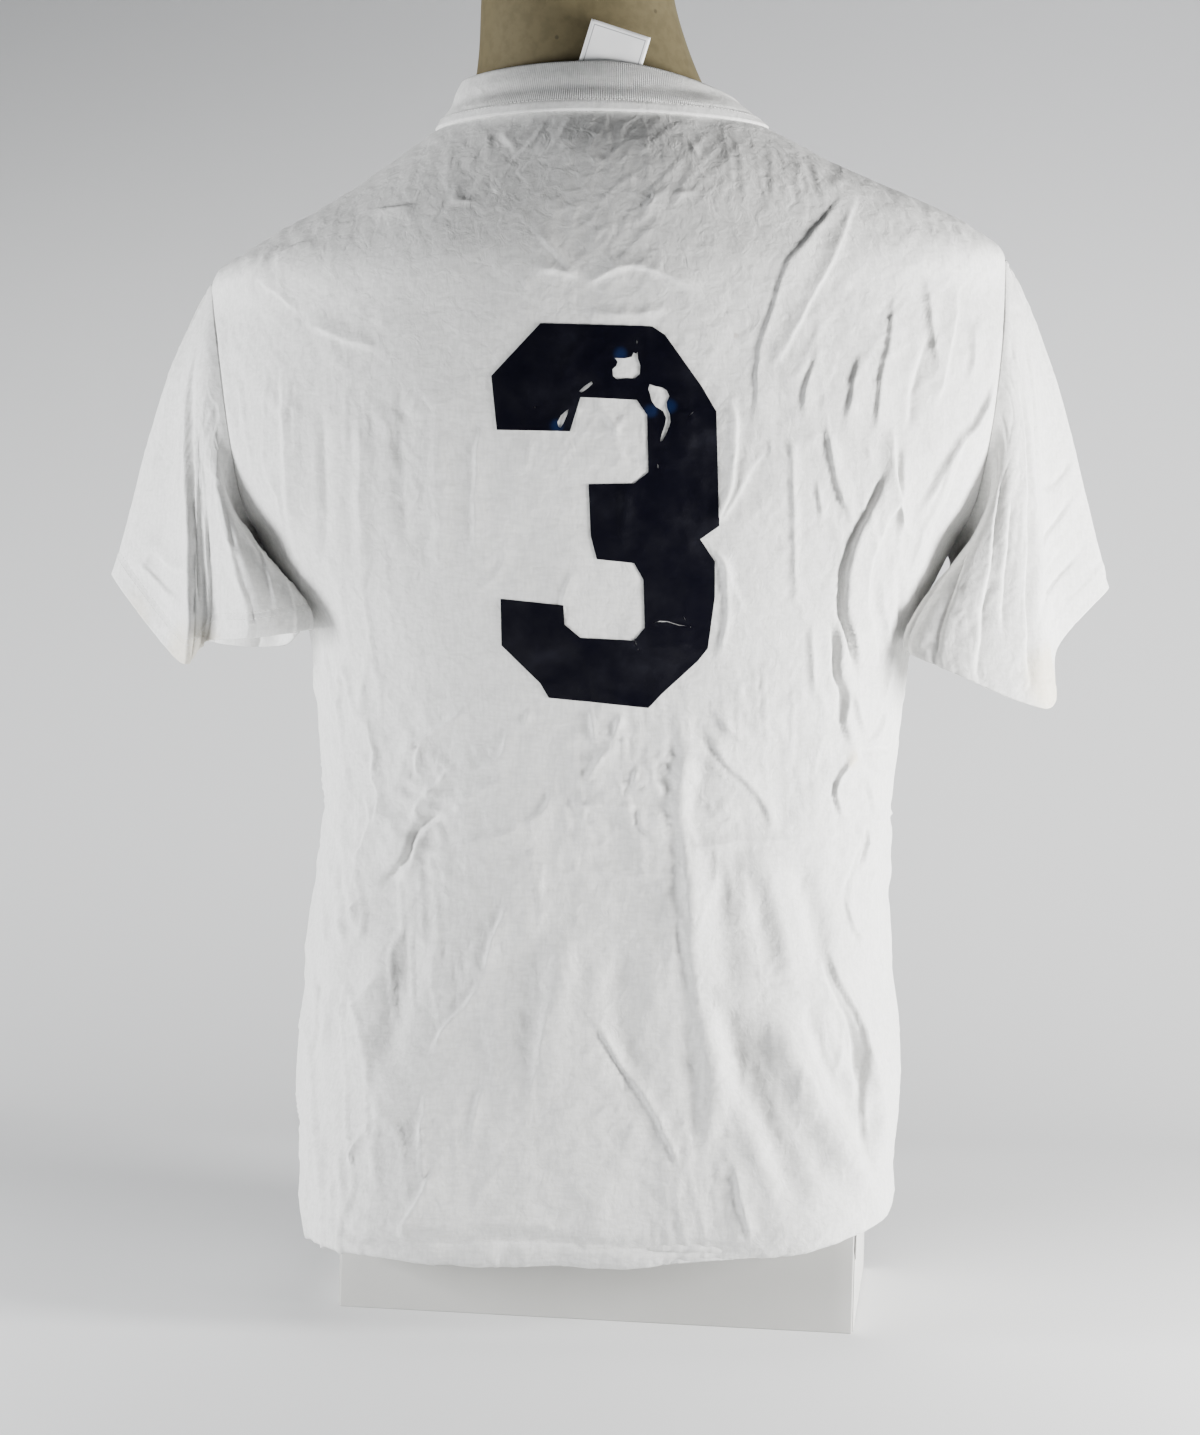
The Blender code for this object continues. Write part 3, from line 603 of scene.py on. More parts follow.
def folds(table):
    """Each row of a table as a bent line in metres, with its width, height and lean."""
    for wide, high, lean, *points in table:
        line = bent_line(points, 6 + 5 * len(points)) / 1000
        taller = np.interp(wide, (NARROW_MM, BROAD_MM), (CREASE_HIGH, BROAD_HIGH))
        yield line, wide / 1000 * CREASE_WIDE, high / 1000 * taller, lean


def creased(table, x, z):
    """The sum of a table's creases at each x and z, in metres."""
    x, z = wobbly(x, z)
    moved = np.zeros_like(x)
    for line, wide, high, lean in folds(table):
        near, _, aside, along = beside(x, z, line, CREASE_REACH_MORE + CREASE_REACH * wide)
        moved[near] += high * fading(line, wide, along) * profile(aside, wide, lean)
    return moved


# %% [markdown]
# A crisp crest needs cells finer than 2 mm. So the cloth's points are first drawn together
# along each narrow crease, as a tailor gathers cloth, which halves the cells there and
# leaves them wide where the cloth is plain. Each pull keeps the points in order.

# %% Gather a grid along its creases
GATHER_PULL = 0.55
GATHER_WIDE = 0.0042
GATHER_REACH = 0.016
GATHER_NARROWER = 0.0045


def gathered(table, cells, x, z, still):
    """Cells slid along the cloth towards its narrow creases; x and z are where they lie."""
    new_x, new_z = x.copy(), z.copy()
    off_x, off_z = (new - old for new, old in zip(wobbly(x, z), (x, z)))
    for line, wide, _, _ in folds(table):
        if wide < GATHER_NARROWER:
            near, gap, aside, along = beside(new_x + off_x, new_z + off_z, line, GATHER_REACH)
            pull = GATHER_PULL * np.exp(-0.5 * (aside / GATHER_WIDE) ** 2)
            pull = pull * fading(line, wide, along)
            new_x[near] -= gap[:, 0] * pull
            new_z[near] -= gap[:, 1] * pull
    return slid(cells, x, z, (new_x - x) * still, (new_z - z) * still)


def slid(cells, x, z, dx, dz):
    """Cells read again at places moved by dx and dz along x and z."""
    x_up, x_on = np.gradient(x)
    z_up, z_on = np.gradient(z)
    area = x_on * z_up - x_up * z_on
    safe = area / (area ** 2 + (0.1 * np.abs(area).max()) ** 2)
    rows, cols = area.shape
    i = np.arange(rows)[:, None] + np.clip((x_on * dz - z_on * dx) * safe, -1, 1)
    j = np.arange(cols)[None, :] + np.clip((dx * z_up - dz * x_up) * safe, -1.5, 1.5)
    i, j = np.clip(i, 0, rows - 1), np.clip(j, 0, cols - 1)
    a, b = np.minimum(i.astype(int), rows - 2), np.minimum(j.astype(int), cols - 2)
    f, g = (i - a)[..., None], (j - b)[..., None]
    low = cells[a, b] * (1 - g) + cells[a, b + 1] * g
    high = cells[a + 1, b] * (1 - g) + cells[a + 1, b + 1] * g
    return low * (1 - f) + high * f


# %% [markdown]
# ## The creases on the back
#
# Long thin diagonals drop from the right shoulder, a deep fold runs down from the right
# armpit, sharp short folds bunch left of the waist, small ones gather under the numeral,
# and broad soft folds hang to the roll. x grows to the picture's left, and z is up.

# %% Place the creases of the back panel
BACK_CREASES = numbers("""
# left shoulder and upper left
2.6 1.3 .5 223,642 207,631 193,619
2.8 1.5 .5 193,613 166,603 137,596
2.4 .9 -.4 148,684 132,683 120,682
2.6 1.2 .3 50,646 31,645 20,640
3.2 1.5 .4 24,634 -8,648 -54,634
3 .8 0 20,621 -8,619 -36,627
2 .5 0 99,648 97,644 94,639
2.6 1 .4 51,670 34,655 25,643
2 .6 0 57,644 56,638 55,632
2.2 1.5 .5 216,522 206,506 204,489
2 .7 0 105,690 96,689 85,688
2 .6 0 101,701 100,695 99,688
2.4 .8 .3 -21,702 -20,690 -12,683
2 .7 0 -32,696 -40,696 -47,695
3.6 .8 .2 76,736 68,726 61,716
3 .5 -.2 84,736 80,728 77,720
2.6 .5 0 -40,732 -43,725 -50,716
2.2 .9 .3 215,655 224,640 231,622
2.4 1.1 -.3 207,660 219,650 229,640
2.4 .9 .3 185,664 200,658 212,650
5 1.4 .2 245,579 243,522 237,465
4.4 1.5 .3 206,590 200,545 198,500 193,466
4.6 -1 0 178,566 175,518 173,462
5 1.1 0 155,566 152,518 152,457
6 -.8 0 130,579 127,525 125,470
6 .8 0 105,555 105,507 102,446
3 .7 .3 80,560 84,520 82,470
2.4 .5 0 62,478 70,462 86,450
# long diagonals from the right shoulder
2.4 .9 .4 -145,707 -123,681 -99,646 -90,613 -82,546
2.2 1 -.4 -150,706 -134,666 -113,628 -104,607 -92,584
2.8 1.2 .3 -122,607 -116,587 -114,556
2.8 1.3 .4 -151,605 -145,588 -138,556
3.4 1.7 .3 -188,653 -192,623 -199,588
3 -1.5 0 -192,619 -183,586 -181,551
3 1.6 .4 -179,551 -177,525 -177,490
3.6 2.4 .5 -240,592 -228,567 -212,545 -186,500
3.4 -1.8 0 -221,560 -213,526 -196,479
3 1.4 .2 -220,625 -222,609 -219,585
2 .7 0 -211,598 -209,593 -206,587
3.4 1.5 -.3 -207,655 -209,630 -204,600 -196,566
2.8 1.3 .4 -168,640 -166,610 -160,580 -158,548
3.2 1.2 .3 -210,545 -203,520 -192,492 -186,462
3 1 0 -106,560 -108,520 -112,480 -112,440
# the deep fold below the right armpit
3.4 3.2 .5 -173,540 -160,513 -146,478 -144,448 -151,423 -159,398
1.7 -1.9 0 -169,533 -156.4,508 -142.6,476 -140.6,448 -147,424 -155,401
3.4 1.6 -.4 -186,530 -170,504 -160,478 -158,450 -164,426 -170,400
3.2 2.4 .5 -138,444 -142,421 -143,404 -150,388 -147,372 -158,352
1.7 -1.6 0 -135,440 -138.6,420 -139.8,404 -146,388 -143.6,373
2.8 1.7 .3 -126,561 -132,535 -138,515 -148,497
3 2.2 -.3 -170,561 -172,531 -180,490
2.8 1.6 .2 -166,470 -170,440 -176,415 -172,385
2.6 -1.6 0 -178,468 -182,440 -180,410
3.4 2 .4 -152,396 -156,378 -164,360
3 1.2 0 -122,440 -124,415 -128,388
# beside the numeral
2.6 1.4 -.4 -70,575 -74,545 -71,520 -60,490
2.2 .9 .4 -61,494 -68,502 -79,523 -93,543
2.2 1 -.4 -58,486 -68,474 -76,455 -84,440
2.6 1.2 0 -64,486 -70,462 -71,436 -66,410
2 .7 0 -93,549 -94,541 -96,535
2.2 1 .3 -122,526 -125,512 -128,496
2.2 1 0 -151,547 -155,541 -158,534
2.4 .8 0 10,566 -1,553 -3,541
2.2 .7 .3 22,470 27,452 29,436
3.4 .7 0 -8,520 -7,500 -8,478
3 .6 0 14,616 26,596 34,574
# left of the waist
2.4 1.9 .5 82,381 100,370 113,361 132,348
2.2 1.5 .4 110,362 117,349 119,335
2.4 2 .5 92,346 103,334 117,321 123,307
2.6 -2.8 .2 90,317 114,309 121,301 123,290 131,278 143,266
3.4 2.2 0 94,310 112,303 117,295 119,285 130,272
4 1.5 .2 44,311 79,299 118,286
3.6 1.2 0 57,339 76,330 93,318
2.2 1.9 .5 148,342 143,322 145,303
2.2 1.6 .4 154,322 148,311 151,295 158,278
2.2 1.5 .4 150,260 158,248 172,236
2.4 -1.3 0 162,282 165,268 162,256
2.4 1.4 .3 148,306 137,309 124,314
2 -1.7 .3 175,208 178,180 183,150
3.4 1.3 0 168,206 171,180 176,152
2.8 1.5 .3 172,345 166,322 170,300 163,282
2.6 1.2 0 150,376 145,350 148,330
# under the numeral
2.8 1.2 .2 35,336 38,320 50,309
2.2 1 .3 13,386 9,371 7,357
2.2 1 0 -8,384 -6,373 -2,362
2.2 .9 0 47,383 49,376 52,368
2.8 1.3 .3 26,323 2,324 -29,323
2.4 .9 .3 -22,326 -22,312 -36,302
2.2 .9 0 -4,360 4,350 14,338
2.2 .9 0 -20,352 -18,342 -15,330
2.4 .7 .3 -20,358 -28,346 -30,334
2.6 .9 .2 60,372 66,350 82,340
2.2 .8 -.2 -4,345 -10,336 -9,326
5.6 1.7 0 -40,392 -46,355 -45,321 -50,294 -55,238 -62,181
2.8 1.4 .3 -56,372 -72,350 -90,334 -98,322 -104,304
2.6 1.2 .2 -60,386 -72,372 -86,363 -102,359
2.8 1.2 0 -50,312 -54,302 -89,304 -136,299
3 .7 0 48,283 2,281 -48,282
# right of the waist
2.4 2 .5 -157,356 -148,344 -144,334 -146,320 -153,309
2.4 -2 .2 -154,352 -171,357 -188,352
2.2 1 0 -145,311 -153,310 -160,308
2.2 1.8 .5 -167,311 -165,295 -163,279
2.4 1.6 .4 -153,268 -158,245 -169,231
2.6 2.2 .5 -138,243 -147,215 -159,192 -164,170 -164,127 -174,102
2.4 -1.4 0 -135,236 -143,212 -154,190 -159,168 -159,130
3 -1.6 0 -174,236 -181,214 -184,186
2.6 1.6 .3 -176,384 -170,368 -160,356
2.4 1.3 -.3 -182,336 -172,344 -160,350
2.6 1.4 .2 -164,340 -168,322 -178,306
2.6 -1.3 0 -160,300 -158,282 -150,262
2.8 1.4 .3 60,262 68,240 72,215
8 -1.6 0 -68,297 -73,255 -80,205
8 2 .2 -92,306 -107,255 -120,204
7 -1.5 0 -118,300 -128,262 -140,215
# down to the roll
1.9 1.5 .5 8,198 -4,181 -15,164 -34,135 -52,103
2.4 1.5 .4 -79,115 -84,93 -93,64
2.8 1.5 .3 72,216 84,198 97,181 102,165
3.2 1.1 .2 106,150 107,132 110,112
2.4 1.5 .4 96,106 109,82 121,58
2.4 1.1 .3 134,133 145,117 155,102
4 1.5 .2 136,216 151,194 162,168
3.2 .8 0 66,160 74,138 79,110
3.6 .8 0 33,208 37,169 44,138
2.4 1.1 .2 143,124 149,111 154,98
2.4 1 0 166,92 164,81 162,70
8 2.3 0 -59,212 -68,164 -70,112
2.2 .7 0 -66,169 -76,170 -87,169
9 -2.4 0 -70,212 -88,164 -112,110 -130,76
9 2.8 .2 -100,212 -128,145 -150,110 -182,78
6 -2 0 -121,210 -145,154 -162,118 -180,86
6 2.6 .2 -150,210 -168,160 -174,125 -178,96
4 1.5 .2 187,162 185,176 184,190
10 1.6 0 20,260 28,200 30,140
10 -1.3 0 -14,250 -12,190 -22,130
9 1.4 0 132,250 146,190 150,140
8 -1.3 0 112,250 124,195 130,150
2.6 -2.6 .3 172,73 151,60 119,58 70,62 9,61 -45,59 -100,57
3 1.2 0 150,70 110,69 60,73 10,71
2.6 -.9 0 157,50 119,45 70,45
""")
print(len(BACK_CREASES), "creases on the back")

# %% [markdown]
# ## The creases on the front
#
# The front isn't in the picture. It is the same cloth on the same form, so it gets the
# same kinds of fold.

# %% Place the creases of the front panel
FRONT_CREASES = numbers("""
2.8 1.2 .4 -120,690 -104,660 -92,620 -86,570
2.6 1.1 -.3 128,688 112,655 100,612 92,575
3.4 1.4 .3 60,690 48,668 20,650 -12,646
3.2 1 0 -52,676 -30,655 0,640 34,636
2.8 1.3 .3 212,640 198,612 188,575
3.2 2 .4 236,590 218,556 196,515 180,478
3.2 -1.8 0 218,560 206,525 196,482
3.4 2.2 .4 -232,590 -214,552 -190,512 -174,470
3 -1.7 0 -214,560 -204,522 -192,480
3.6 -3 .3 160,520 148,488 146,452 156,415
4.4 2.4 .2 150,520 137,486 135,450 144,412
3 1.6 .3 -150,560 -156,525 -166,490 -164,450
4 1.2 0 -105,560 -108,510 -112,450
5 -1 0 80,560 78,510 82,450
5 1 0 30,600 26,540 30,480
4.4 -.9 0 -40,590 -44,530 -40,470
2.8 2 .4 -88,384 -106,366 -124,342
2.8 1.8 .4 -96,352 -112,334 -130,312
3.2 -3 .3 -92,318 -114,305 -128,290 -146,258
4 2.3 0 -88,304 -108,293 -120,280 -138,252
3.4 1.5 .2 -30,318 -64,306 -100,296
3 1.3 .3 40,352 16,340 -10,344
2.6 1.1 0 22,378 28,360 24,342
2.8 1.8 .4 100,372 122,356 140,330
2.8 1.6 .3 108,342 128,322 150,302
3 -2.2 .2 122,322 140,300 160,270
3.2 1.5 .2 50,306 86,298 118,302
2.6 1.3 .2 170,352 162,330 168,306
5 2.4 .2 36,392 44,340 42,290 54,230
8 1.8 .2 -92,300 -106,250 -118,200
8 -1.6 0 -64,290 -72,245 -80,200
8 1.9 0 88,296 98,250 108,200
8 -1.5 0 118,290 130,250 142,205
2 1.3 .4 -10,190 4,160 30,118
2.6 1.3 .3 72,140 80,110 92,74
9 2.4 .2 110,205 132,150 168,90
9 -2.2 0 82,205 96,155 124,88
8 2 0 -60,205 -64,160 -76,110
7 2.2 .2 -130,205 -150,150 -172,100
6 -1.8 0 -106,205 -122,150 -140,100
9 1.4 0 10,260 16,200 10,140
2.8 -1.4 .3 -150,58 -90,62 -20,63 60,61 120,58
""")
print(len(FRONT_CREASES), "creases on the front")

# %% [markdown]
# ## Fine crinkles and soft hang
#
# Between the named creases the cloth is never flat: there are broad low hills, stretched
# upwards because cloth hangs, and thin crinkles in patches that each run one way. Both
# fade towards the sewn edges, and each seam sits in a narrow dip.

# %% Add up everything that moves a panel
SEAM_DIP = 0.0004


def crinkles(x, z, seed, slant, across, along):
    """Thin random ridges from 0 to 1 that run along a slant, in patches."""
    c, s = math.cos(slant), math.sin(slant)
    u, v = (x * c + z * s) / along, (z * c - x * s) / across
    field = hills(u, v, seed) + 0.6 * hills(u * 1.9, v * 1.9, seed + 1)
    patch = np.clip(0.25 + hills(x, z, seed + 2, 0.055), 0, 1)
    return np.clip(1 - np.abs(field) * 2.6, 0, 1) ** 1.5 * patch


def panel_moves(side, table, grid):
    """How far a body panel stands off its smooth surface, in metres."""
    x, z = grid[:, :, 0], grid[:, :, 2]
    seed = 20 if side == "back" else 60
    flank = ramp(np.abs(x), 0.07, 0.10)
    waist = bell(z, 0.34, 0.07)
    high = ramp(z, 0.40, 0.15)
    low = ramp(z, 0.44, -0.12)
    moved = 0.0014 * hills(x, z * 0.5, seed, 0.060) * (1 + 0.6 * low)
    moved += 0.0009 * hills(x, z * 0.6, seed + 1, 0.026)
    moved += 0.00035 * hills(x, z * 0.8, seed + 2, 0.011)
    for tall, offset, slant, across, along, where in (
        (0.00120, 3, 1.45, 0.011, 0.055, 0.5 + flank),
        (0.00070, 7, -0.9, 0.010, 0.038, 0.4 + high),
        (0.00125, 11, 0.35, 0.011, 0.036, 0.2 + waist),
        (0.00110, 15, 0.85, 0.010, 0.034, 0.3 + waist * flank),
        (0.00085, 19, 1.1, 0.009, 0.030, 0.3 + 0.7 * flank),
        (0.00060, 23, -0.3, 0.009, 0.024, 1.0),
    ):
        moved += tall * crinkles(x, z, seed + offset, slant, across, along) * where
    fine = 0.55 + 0.75 * low + 0.25 * ramp(z, 0.64, -0.06)
    return moved * fine + creased(table, x, z)


def from_edges(grid):
    """How far each point is from the side edges and from the neck edge, in metres."""
    left = run_of(grid, 1)
    return np.minimum(left, left[:, -1:] - left), run_of(grid[::-1])[::-1]


def seam_side(points):
    """The way out from a seam: the same for both pieces of cloth that meet there."""
    x, y, z = points[..., 0], points[..., 1], points[..., 2]
    low = ramp(z, 0.47, -0.03)
    over = ramp(z, 0.64, 0.02)
    return unit(np.stack([
        np.sign(x) * (1 - 0.6 * over), np.clip(y / 0.03, -1, 1) * (1 - low) * (1 - over), over,
    ], axis=-1))


def seam_moves(points, far):
    """The narrow dip that a seam pulls into the cloth, in metres along seam_side."""
    x, z = points[..., 0], points[..., 2]
    shared = 0.0014 * hills(z, z * 0, 90, 0.035) + 0.0009 * hills(z, z * 0, 91, 0.013)
    across = 0.0006 * hills(x, x * 0, 92, 0.020) * ramp(z, 0.64, 0.02)
    return (shared * ramp(z, 0.46, -0.03) + across) * bell(far, 0, 0.012) \
        - SEAM_DIP * bell(far, 0, 0.0022)


def creased_panel(side, table, grid):
    """A panel's grid with its creases, crinkles and seams."""
    sides, top = from_edges(grid)
    still = ramp(np.minimum(sides, top), 0.002, 0.008)
    grid = gathered(table, grid, grid[:, :, 0], grid[:, :, 2], still)
    sides, top = from_edges(grid)
    calm = soft(ramp(sides, 0, 0.010) * ramp(top, 0, 0.010))
    moved = panel_moves(side, table, grid) * calm - SEAM_DIP * bell(top, 0, 0.0020)
    seam = seam_moves(grid, sides) * ramp(top, 0, 0.006)
    return grid + outward(grid) * moved[:, :, None] + seam_side(grid) * seam[:, :, None]


# %% [markdown]
# ## The body panels
#
# Both panels take the same small wobble along their shared edge, so the seam never opens.
# Each replaces its CAD solid, which stays as the shape that things bump into. Each
# replaces its CAD solid, which stays in the scene, hidden.

# %% Make the back and the front
def body_panel(side, table, grid):
    """One body panel that stands for its CAD node, and its grid."""
    shaped = creased_panel(side, table, grid)
    thing = cloth(side + "_body", shaped, JERSEY_FINISH)
    return fit(thing, side + "_panel"), shaped


back_body, BACK_CLOTH = body_panel("back", BACK_CREASES, BACK_GRID)
front_body, _ = body_panel("front", FRONT_CREASES, FRONT_GRID)
print("back", len(back_body.data.polygons), "quads; front", len(front_body.data.polygons))

# %% [markdown]
# ## The sleeves
#
# A short set-in sleeve hangs empty, so it collapses into a few flat facets with folds
# between them. It is laid out as runs of cloth, each of which leaves the armhole in a
# known direction and reaches the CAD model's cuff at a known place. The inside shows at
# the mouth, so a sleeve has two skins, with a stitched dip above its hem.

# %% Name the cuffs
CUFF_COLUMNS = ("around", "x", "y", "z")
CUFFS = {
    "left": numbers("""
0 .199 .003 .419
.06 .197 .034 .422
.12 .187 .062 .425
.22 .22 .076 .419
.3 .252 .05 .415
.37 .264 .056 .401
.44 .288 .022 .418
.5 .319 -.012 .453
.58 .3 -.044 .44
.7 .27 -.064 .412
.8 .245 -.052 .407
.9 .214 -.046 .408
"""),
    "right": numbers("""
0 .201 .003 .422
.06 .199 .034 .422
.12 .186 .062 .419
.22 .22 .074 .404
.31 .26 .066 .388
.37 .279 .05 .387
.43 .285 .014 .42
.5 .322 -.016 .458
.58 .302 -.046 .442
.7 .271 -.062 .414
.8 .245 -.05 .41
.9 .215 -.044 .412
"""),
}
SLEEVE_AROUND = 240
SLEEVE_DOWN = 110
ARMHOLE_PLACES = 49
LEAVES_ARMPIT = (0.030, 0.010, -0.050)
LEAVES_SIDES = (0.070, 0.0, -0.050)
LEAVES_TIP = (0.085, 0.0, -0.100)
REACHES_ARMPIT = (0.020, 0.0, -0.060)
REACHES_CUFF = (0.030, 0.0, -0.090)

# %% [markdown]
# The armhole is one closed loop: from the armpit up the back edge to the shoulder's tip
# and down the front edge, so a sleeve starts on the very edge that it is sewn to.

# %% Walk the armhole and lay out a sleeve
def armhole(facing):
    """The armhole's back edge, and its front edge from the tip down."""
    edge = 0 if facing == "left" else -1
    places = np.linspace(ARMPIT_LEVEL, TIP_LEVEL, ARMHOLE_PLACES)
    back, front = (np.array([section(side, at, 2)[edge] for at in places])
                   for side in ("back", "front"))
    return back, front[::-1]


def round_loop(places, values, wanted):
    """A smooth closed curve through values at places 0..1, read at the wanted places."""
    count = len(places)
    result = []
    for w in wanted:
        i = int(np.searchsorted(places, w, side="right") - 1)
        before, here_is, after, beyond = ((i + k) % count for k in (-1, 0, 1, 2))
        start = places[here_is]
        span = (places[after] - start) % 1 or 1
        gap_before = (start - places[before]) % 1
        gap_beyond = (places[beyond] - places[after]) % 1
        leave = (values[after] - values[before]) / (gap_before + span) * span
        arrive = (values[beyond] - values[here_is]) / (span + gap_beyond) * span
        result.append(cubic(values[here_is], values[after], leave, arrive,
                            ((w - start) % 1) / span))
    return np.array(result)


def sleeve_grid(facing):
    """The smooth surface of a sleeve, rows from armhole to cuff."""
    mirror = np.array([1 if facing == "left" else -1, 1, 1])
    back, front = armhole(facing)
    wanted = np.arange(SLEEVE_AROUND) / SLEEVE_AROUND
    start = []
    for w in wanted:
        edge, share = (back, w * 2) if w <= 0.5 else (front, w * 2 - 1)
        along = run_of(edge)
        start.append(read_line(edge, along, share * along[-1]))
    cuff = np.array([row[1:] for row in CUFFS[facing]]) * mirror
    cuff = round_loop(column(CUFFS[facing], CUFF_COLUMNS, "around"), cuff, wanted)
    armpit, middle, tip = np.array(LEAVES_ARMPIT), np.array(LEAVES_SIDES), np.array(LEAVES_TIP)
    rise = (1 - np.abs(wanted * 2 - 1))[:, None] * 2
    leave = np.where(rise < 1, armpit + (middle - armpit) * rise,
                     middle + (tip - middle) * (rise - 1)) * mirror
    below, beyond = np.array(REACHES_ARMPIT), np.array(REACHES_CUFF)
    arrive = (below + (beyond - below) * np.minimum(rise, 1)) * mirror
    down = np.linspace(0, 1, SLEEVE_DOWN + 1)[:, None, None]
    return cubic(np.array(start), cuff, leave, arrive, down)


# %% [markdown]
# A sleeve's creases lie on its flat pattern: how far round and how far down, in
# millimetres, with 0 at the armpit and the shoulder tip half way round.

# %% Place the creases of the sleeves
SLEEVE_ROUND = 0.400
SLEEVE_CREASES = {
    "left": numbers("""
# the long ridge that turns the outer facet to the back one
3.4 3.4 .45 170,16 160,55 151,100 147,150 148,222
3.2 -2 .3 156,30 146,70 138,110 134,160
2.6 1.8 .4 118,70 120,120 122,170 120,210
2.8 1.2 .3 96,30 94,80 90,130 88,190
2.6 1.1 -.3 58,20 66,60 74,110
2.6 1.5 .4 50,50 62,100 60,150 50,190
2.4 1 .3 176,30 172,70 168,120
2.4 .9 -.3 196,30 192,80 188,130
# short folds beside the notch at the hem
2.4 1.6 .4 154,150 168,160 184,162
2.2 1.4 -.4 160,172 172,178 190,174
2.2 1.2 .4 176,150 184,166 186,184
# towards the front
3.2 1.8 .4 240,20 246,80 250,150
3.2 -1.4 .3 262,30 266,90 262,160
3 1.7 .4 300,10 306,60 310,130
2.8 1.4 -.3 340,20 336,70 342,140
2.4 1 .3 280,100 292,130 296,165
"""),
    "right": numbers("""
# the long ridge between the dark inner facet and the bright outer one
3.4 2.6 .45 140,24 134,80 130,140 128,212
3 1.2 .4 88,20 94,70 98,130 94,190
2.8 1.4 -.4 64,24 70,80 72,140 66,180
2.4 1 .3 108,60 110,110 112,160
2.4 1.2 .4 44,40 50,90 48,140
2.4 1 .3 152,16 150,60 156,110
2.4 1.2 -.4 176,20 172,70 164,130
2.4 .9 .3 196,10 192,60 194,120
# creases across the hem's outer corner
2.2 1.5 .4 146,150 166,156 192,148
2.2 1.5 -.4 142,168 160,178 184,172
2.2 1.2 .4 154,186 170,190 190,184
2 1 .3 168,120 180,130 196,128
# towards the front
3.2 1.8 .4 242,20 246,80 244,150
3.2 -1.4 .3 262,30 264,90 268,160
3 1.7 .4 298,10 300,60 306,130
2.8 1.4 -.3 336,20 342,70 338,140
"""),
}
HEM_UP = 0.015


def creased_sleeve(facing):
    """A sleeve's grid with its creases, and how far each point is from the cuff."""
    grid = sleeve_grid(facing)
    table = SLEEVE_CREASES[facing]
    down = run_of(grid)
    x = np.broadcast_to(np.arange(SLEEVE_AROUND) / SLEEVE_AROUND * SLEEVE_ROUND, down.shape)
    from_cuff = down[-1:] - down
    wrap = np.minimum(x, SLEEVE_ROUND - x)
    still = ramp(np.minimum(down, from_cuff), 0.004, 0.008) * ramp(wrap, 0, 0.012)
    cells = gathered(table, np.dstack([grid, x, down, from_cuff]), x, down, still)
    grid, x, down, from_cuff = cells[..., :3], cells[..., 3], cells[..., 4], cells[..., 5]
    seed = 120 if facing == "left" else 150
    moved = creased(table, x, down)
    moved += 0.0014 * hills(x, down * 0.6, seed, 0.050)
    moved += 0.0006 * hills(x, down * 0.6, seed + 1, 0.018)
    moved += 0.0008 * crinkles(x, down, seed + 3, 1.5, 0.011, 0.050)
    moved += 0.0006 * crinkles(x, down, seed + 7, 0.2, 0.010, 0.030)
    moved += 0.0005 * crinkles(x, down, seed + 11, 0.9, 0.009, 0.026)
    wrap = np.minimum(x, SLEEVE_ROUND - x)
    calm = soft(ramp(down, 0, 0.010)) * ramp(wrap, 0, 0.010)
    under_seam = SEAM_DIP * bell(wrap, 0, 0.0014) * ramp(down, 0, 0.01)
    moved = moved * calm - under_seam - SEAM_DIP * bell(from_cuff, HEM_UP, 0.0012)
    seam = seam_moves(grid, down)
    grid = grid + outward(grid, True) * moved[:, :, None] + seam_side(grid) * seam[:, :, None]
    return grid, from_cuff


# %% [markdown]
# The cloth is 0.9 mm thick, and where the hem is turned up it is two layers. The eye
# reads that thicker edge as a hem.

# %% Make both sleeves
CLOTH_THICK = 0.0009
HEM_THICKER = 0.0008
HEM_STEP = 0.0005


def sleeve(facing):
    """One sleeve that stands for its CAD node, with the grid it was made from."""
    grid, from_cuff = creased_sleeve(facing)
    thick = CLOTH_THICK + HEM_THICKER / (1 + np.exp((from_cuff - HEM_UP) / HEM_STEP))
    thing = cloth(facing + "_sleeve", grid, JERSEY_FINISH, thick, closed=True)
    return fit(thing, "sleeve_" + facing), grid, from_cuff, thick


SLEEVES = {facing: sleeve(facing) for facing in ("left", "right")}
print("sleeves:", [len(made[0].data.polygons) for made in SLEEVES.values()], "quads")

# %% [markdown]
# ## The neck rib
#
# The neckband is a strip of rib folded along its top edge, with a smooth sewn band at its
# foot. Its ribs are real ridges, because they make a neckband look knitted even from a few
# steps away. It stands at the wearer's left, leans on the neck, and falls over at the right.

# %% Lay the rib round the neckline
RIB_LIES = (
    # axis, side, how far it rises, how far it leans in
    (1, 1, 0.0275, 0.0060),
    (0, 1, 0.0270, 0.0150),
    (0, -1, 0.0110, 0.0170),
    (1, -1, 0.0180, 0.0120),
)
RIB_FOOT = -0.0012
RIB_TOP = 0.0013
RIB_OUT = 0.0012
RIB_PITCH = 0.00135
RIB_HALF_THICK = 0.0011
RIB_ROWS = 22
NECK_SAMPLES = 200
RIB_PROFILE = (0.00034, 0.0, -0.00030, 0.0)
BAND_TALL = 0.0050


def neckline(count):
    """The neckline loop, from the left neck point across the back and round the front."""
    top = len(LEVELS) - 1
    back, front = (section(side, top, NECK_SAMPLES) for side in ("back", "front"))
    return spaced(np.vstack([back, front[::-1]]), count, closed=True)


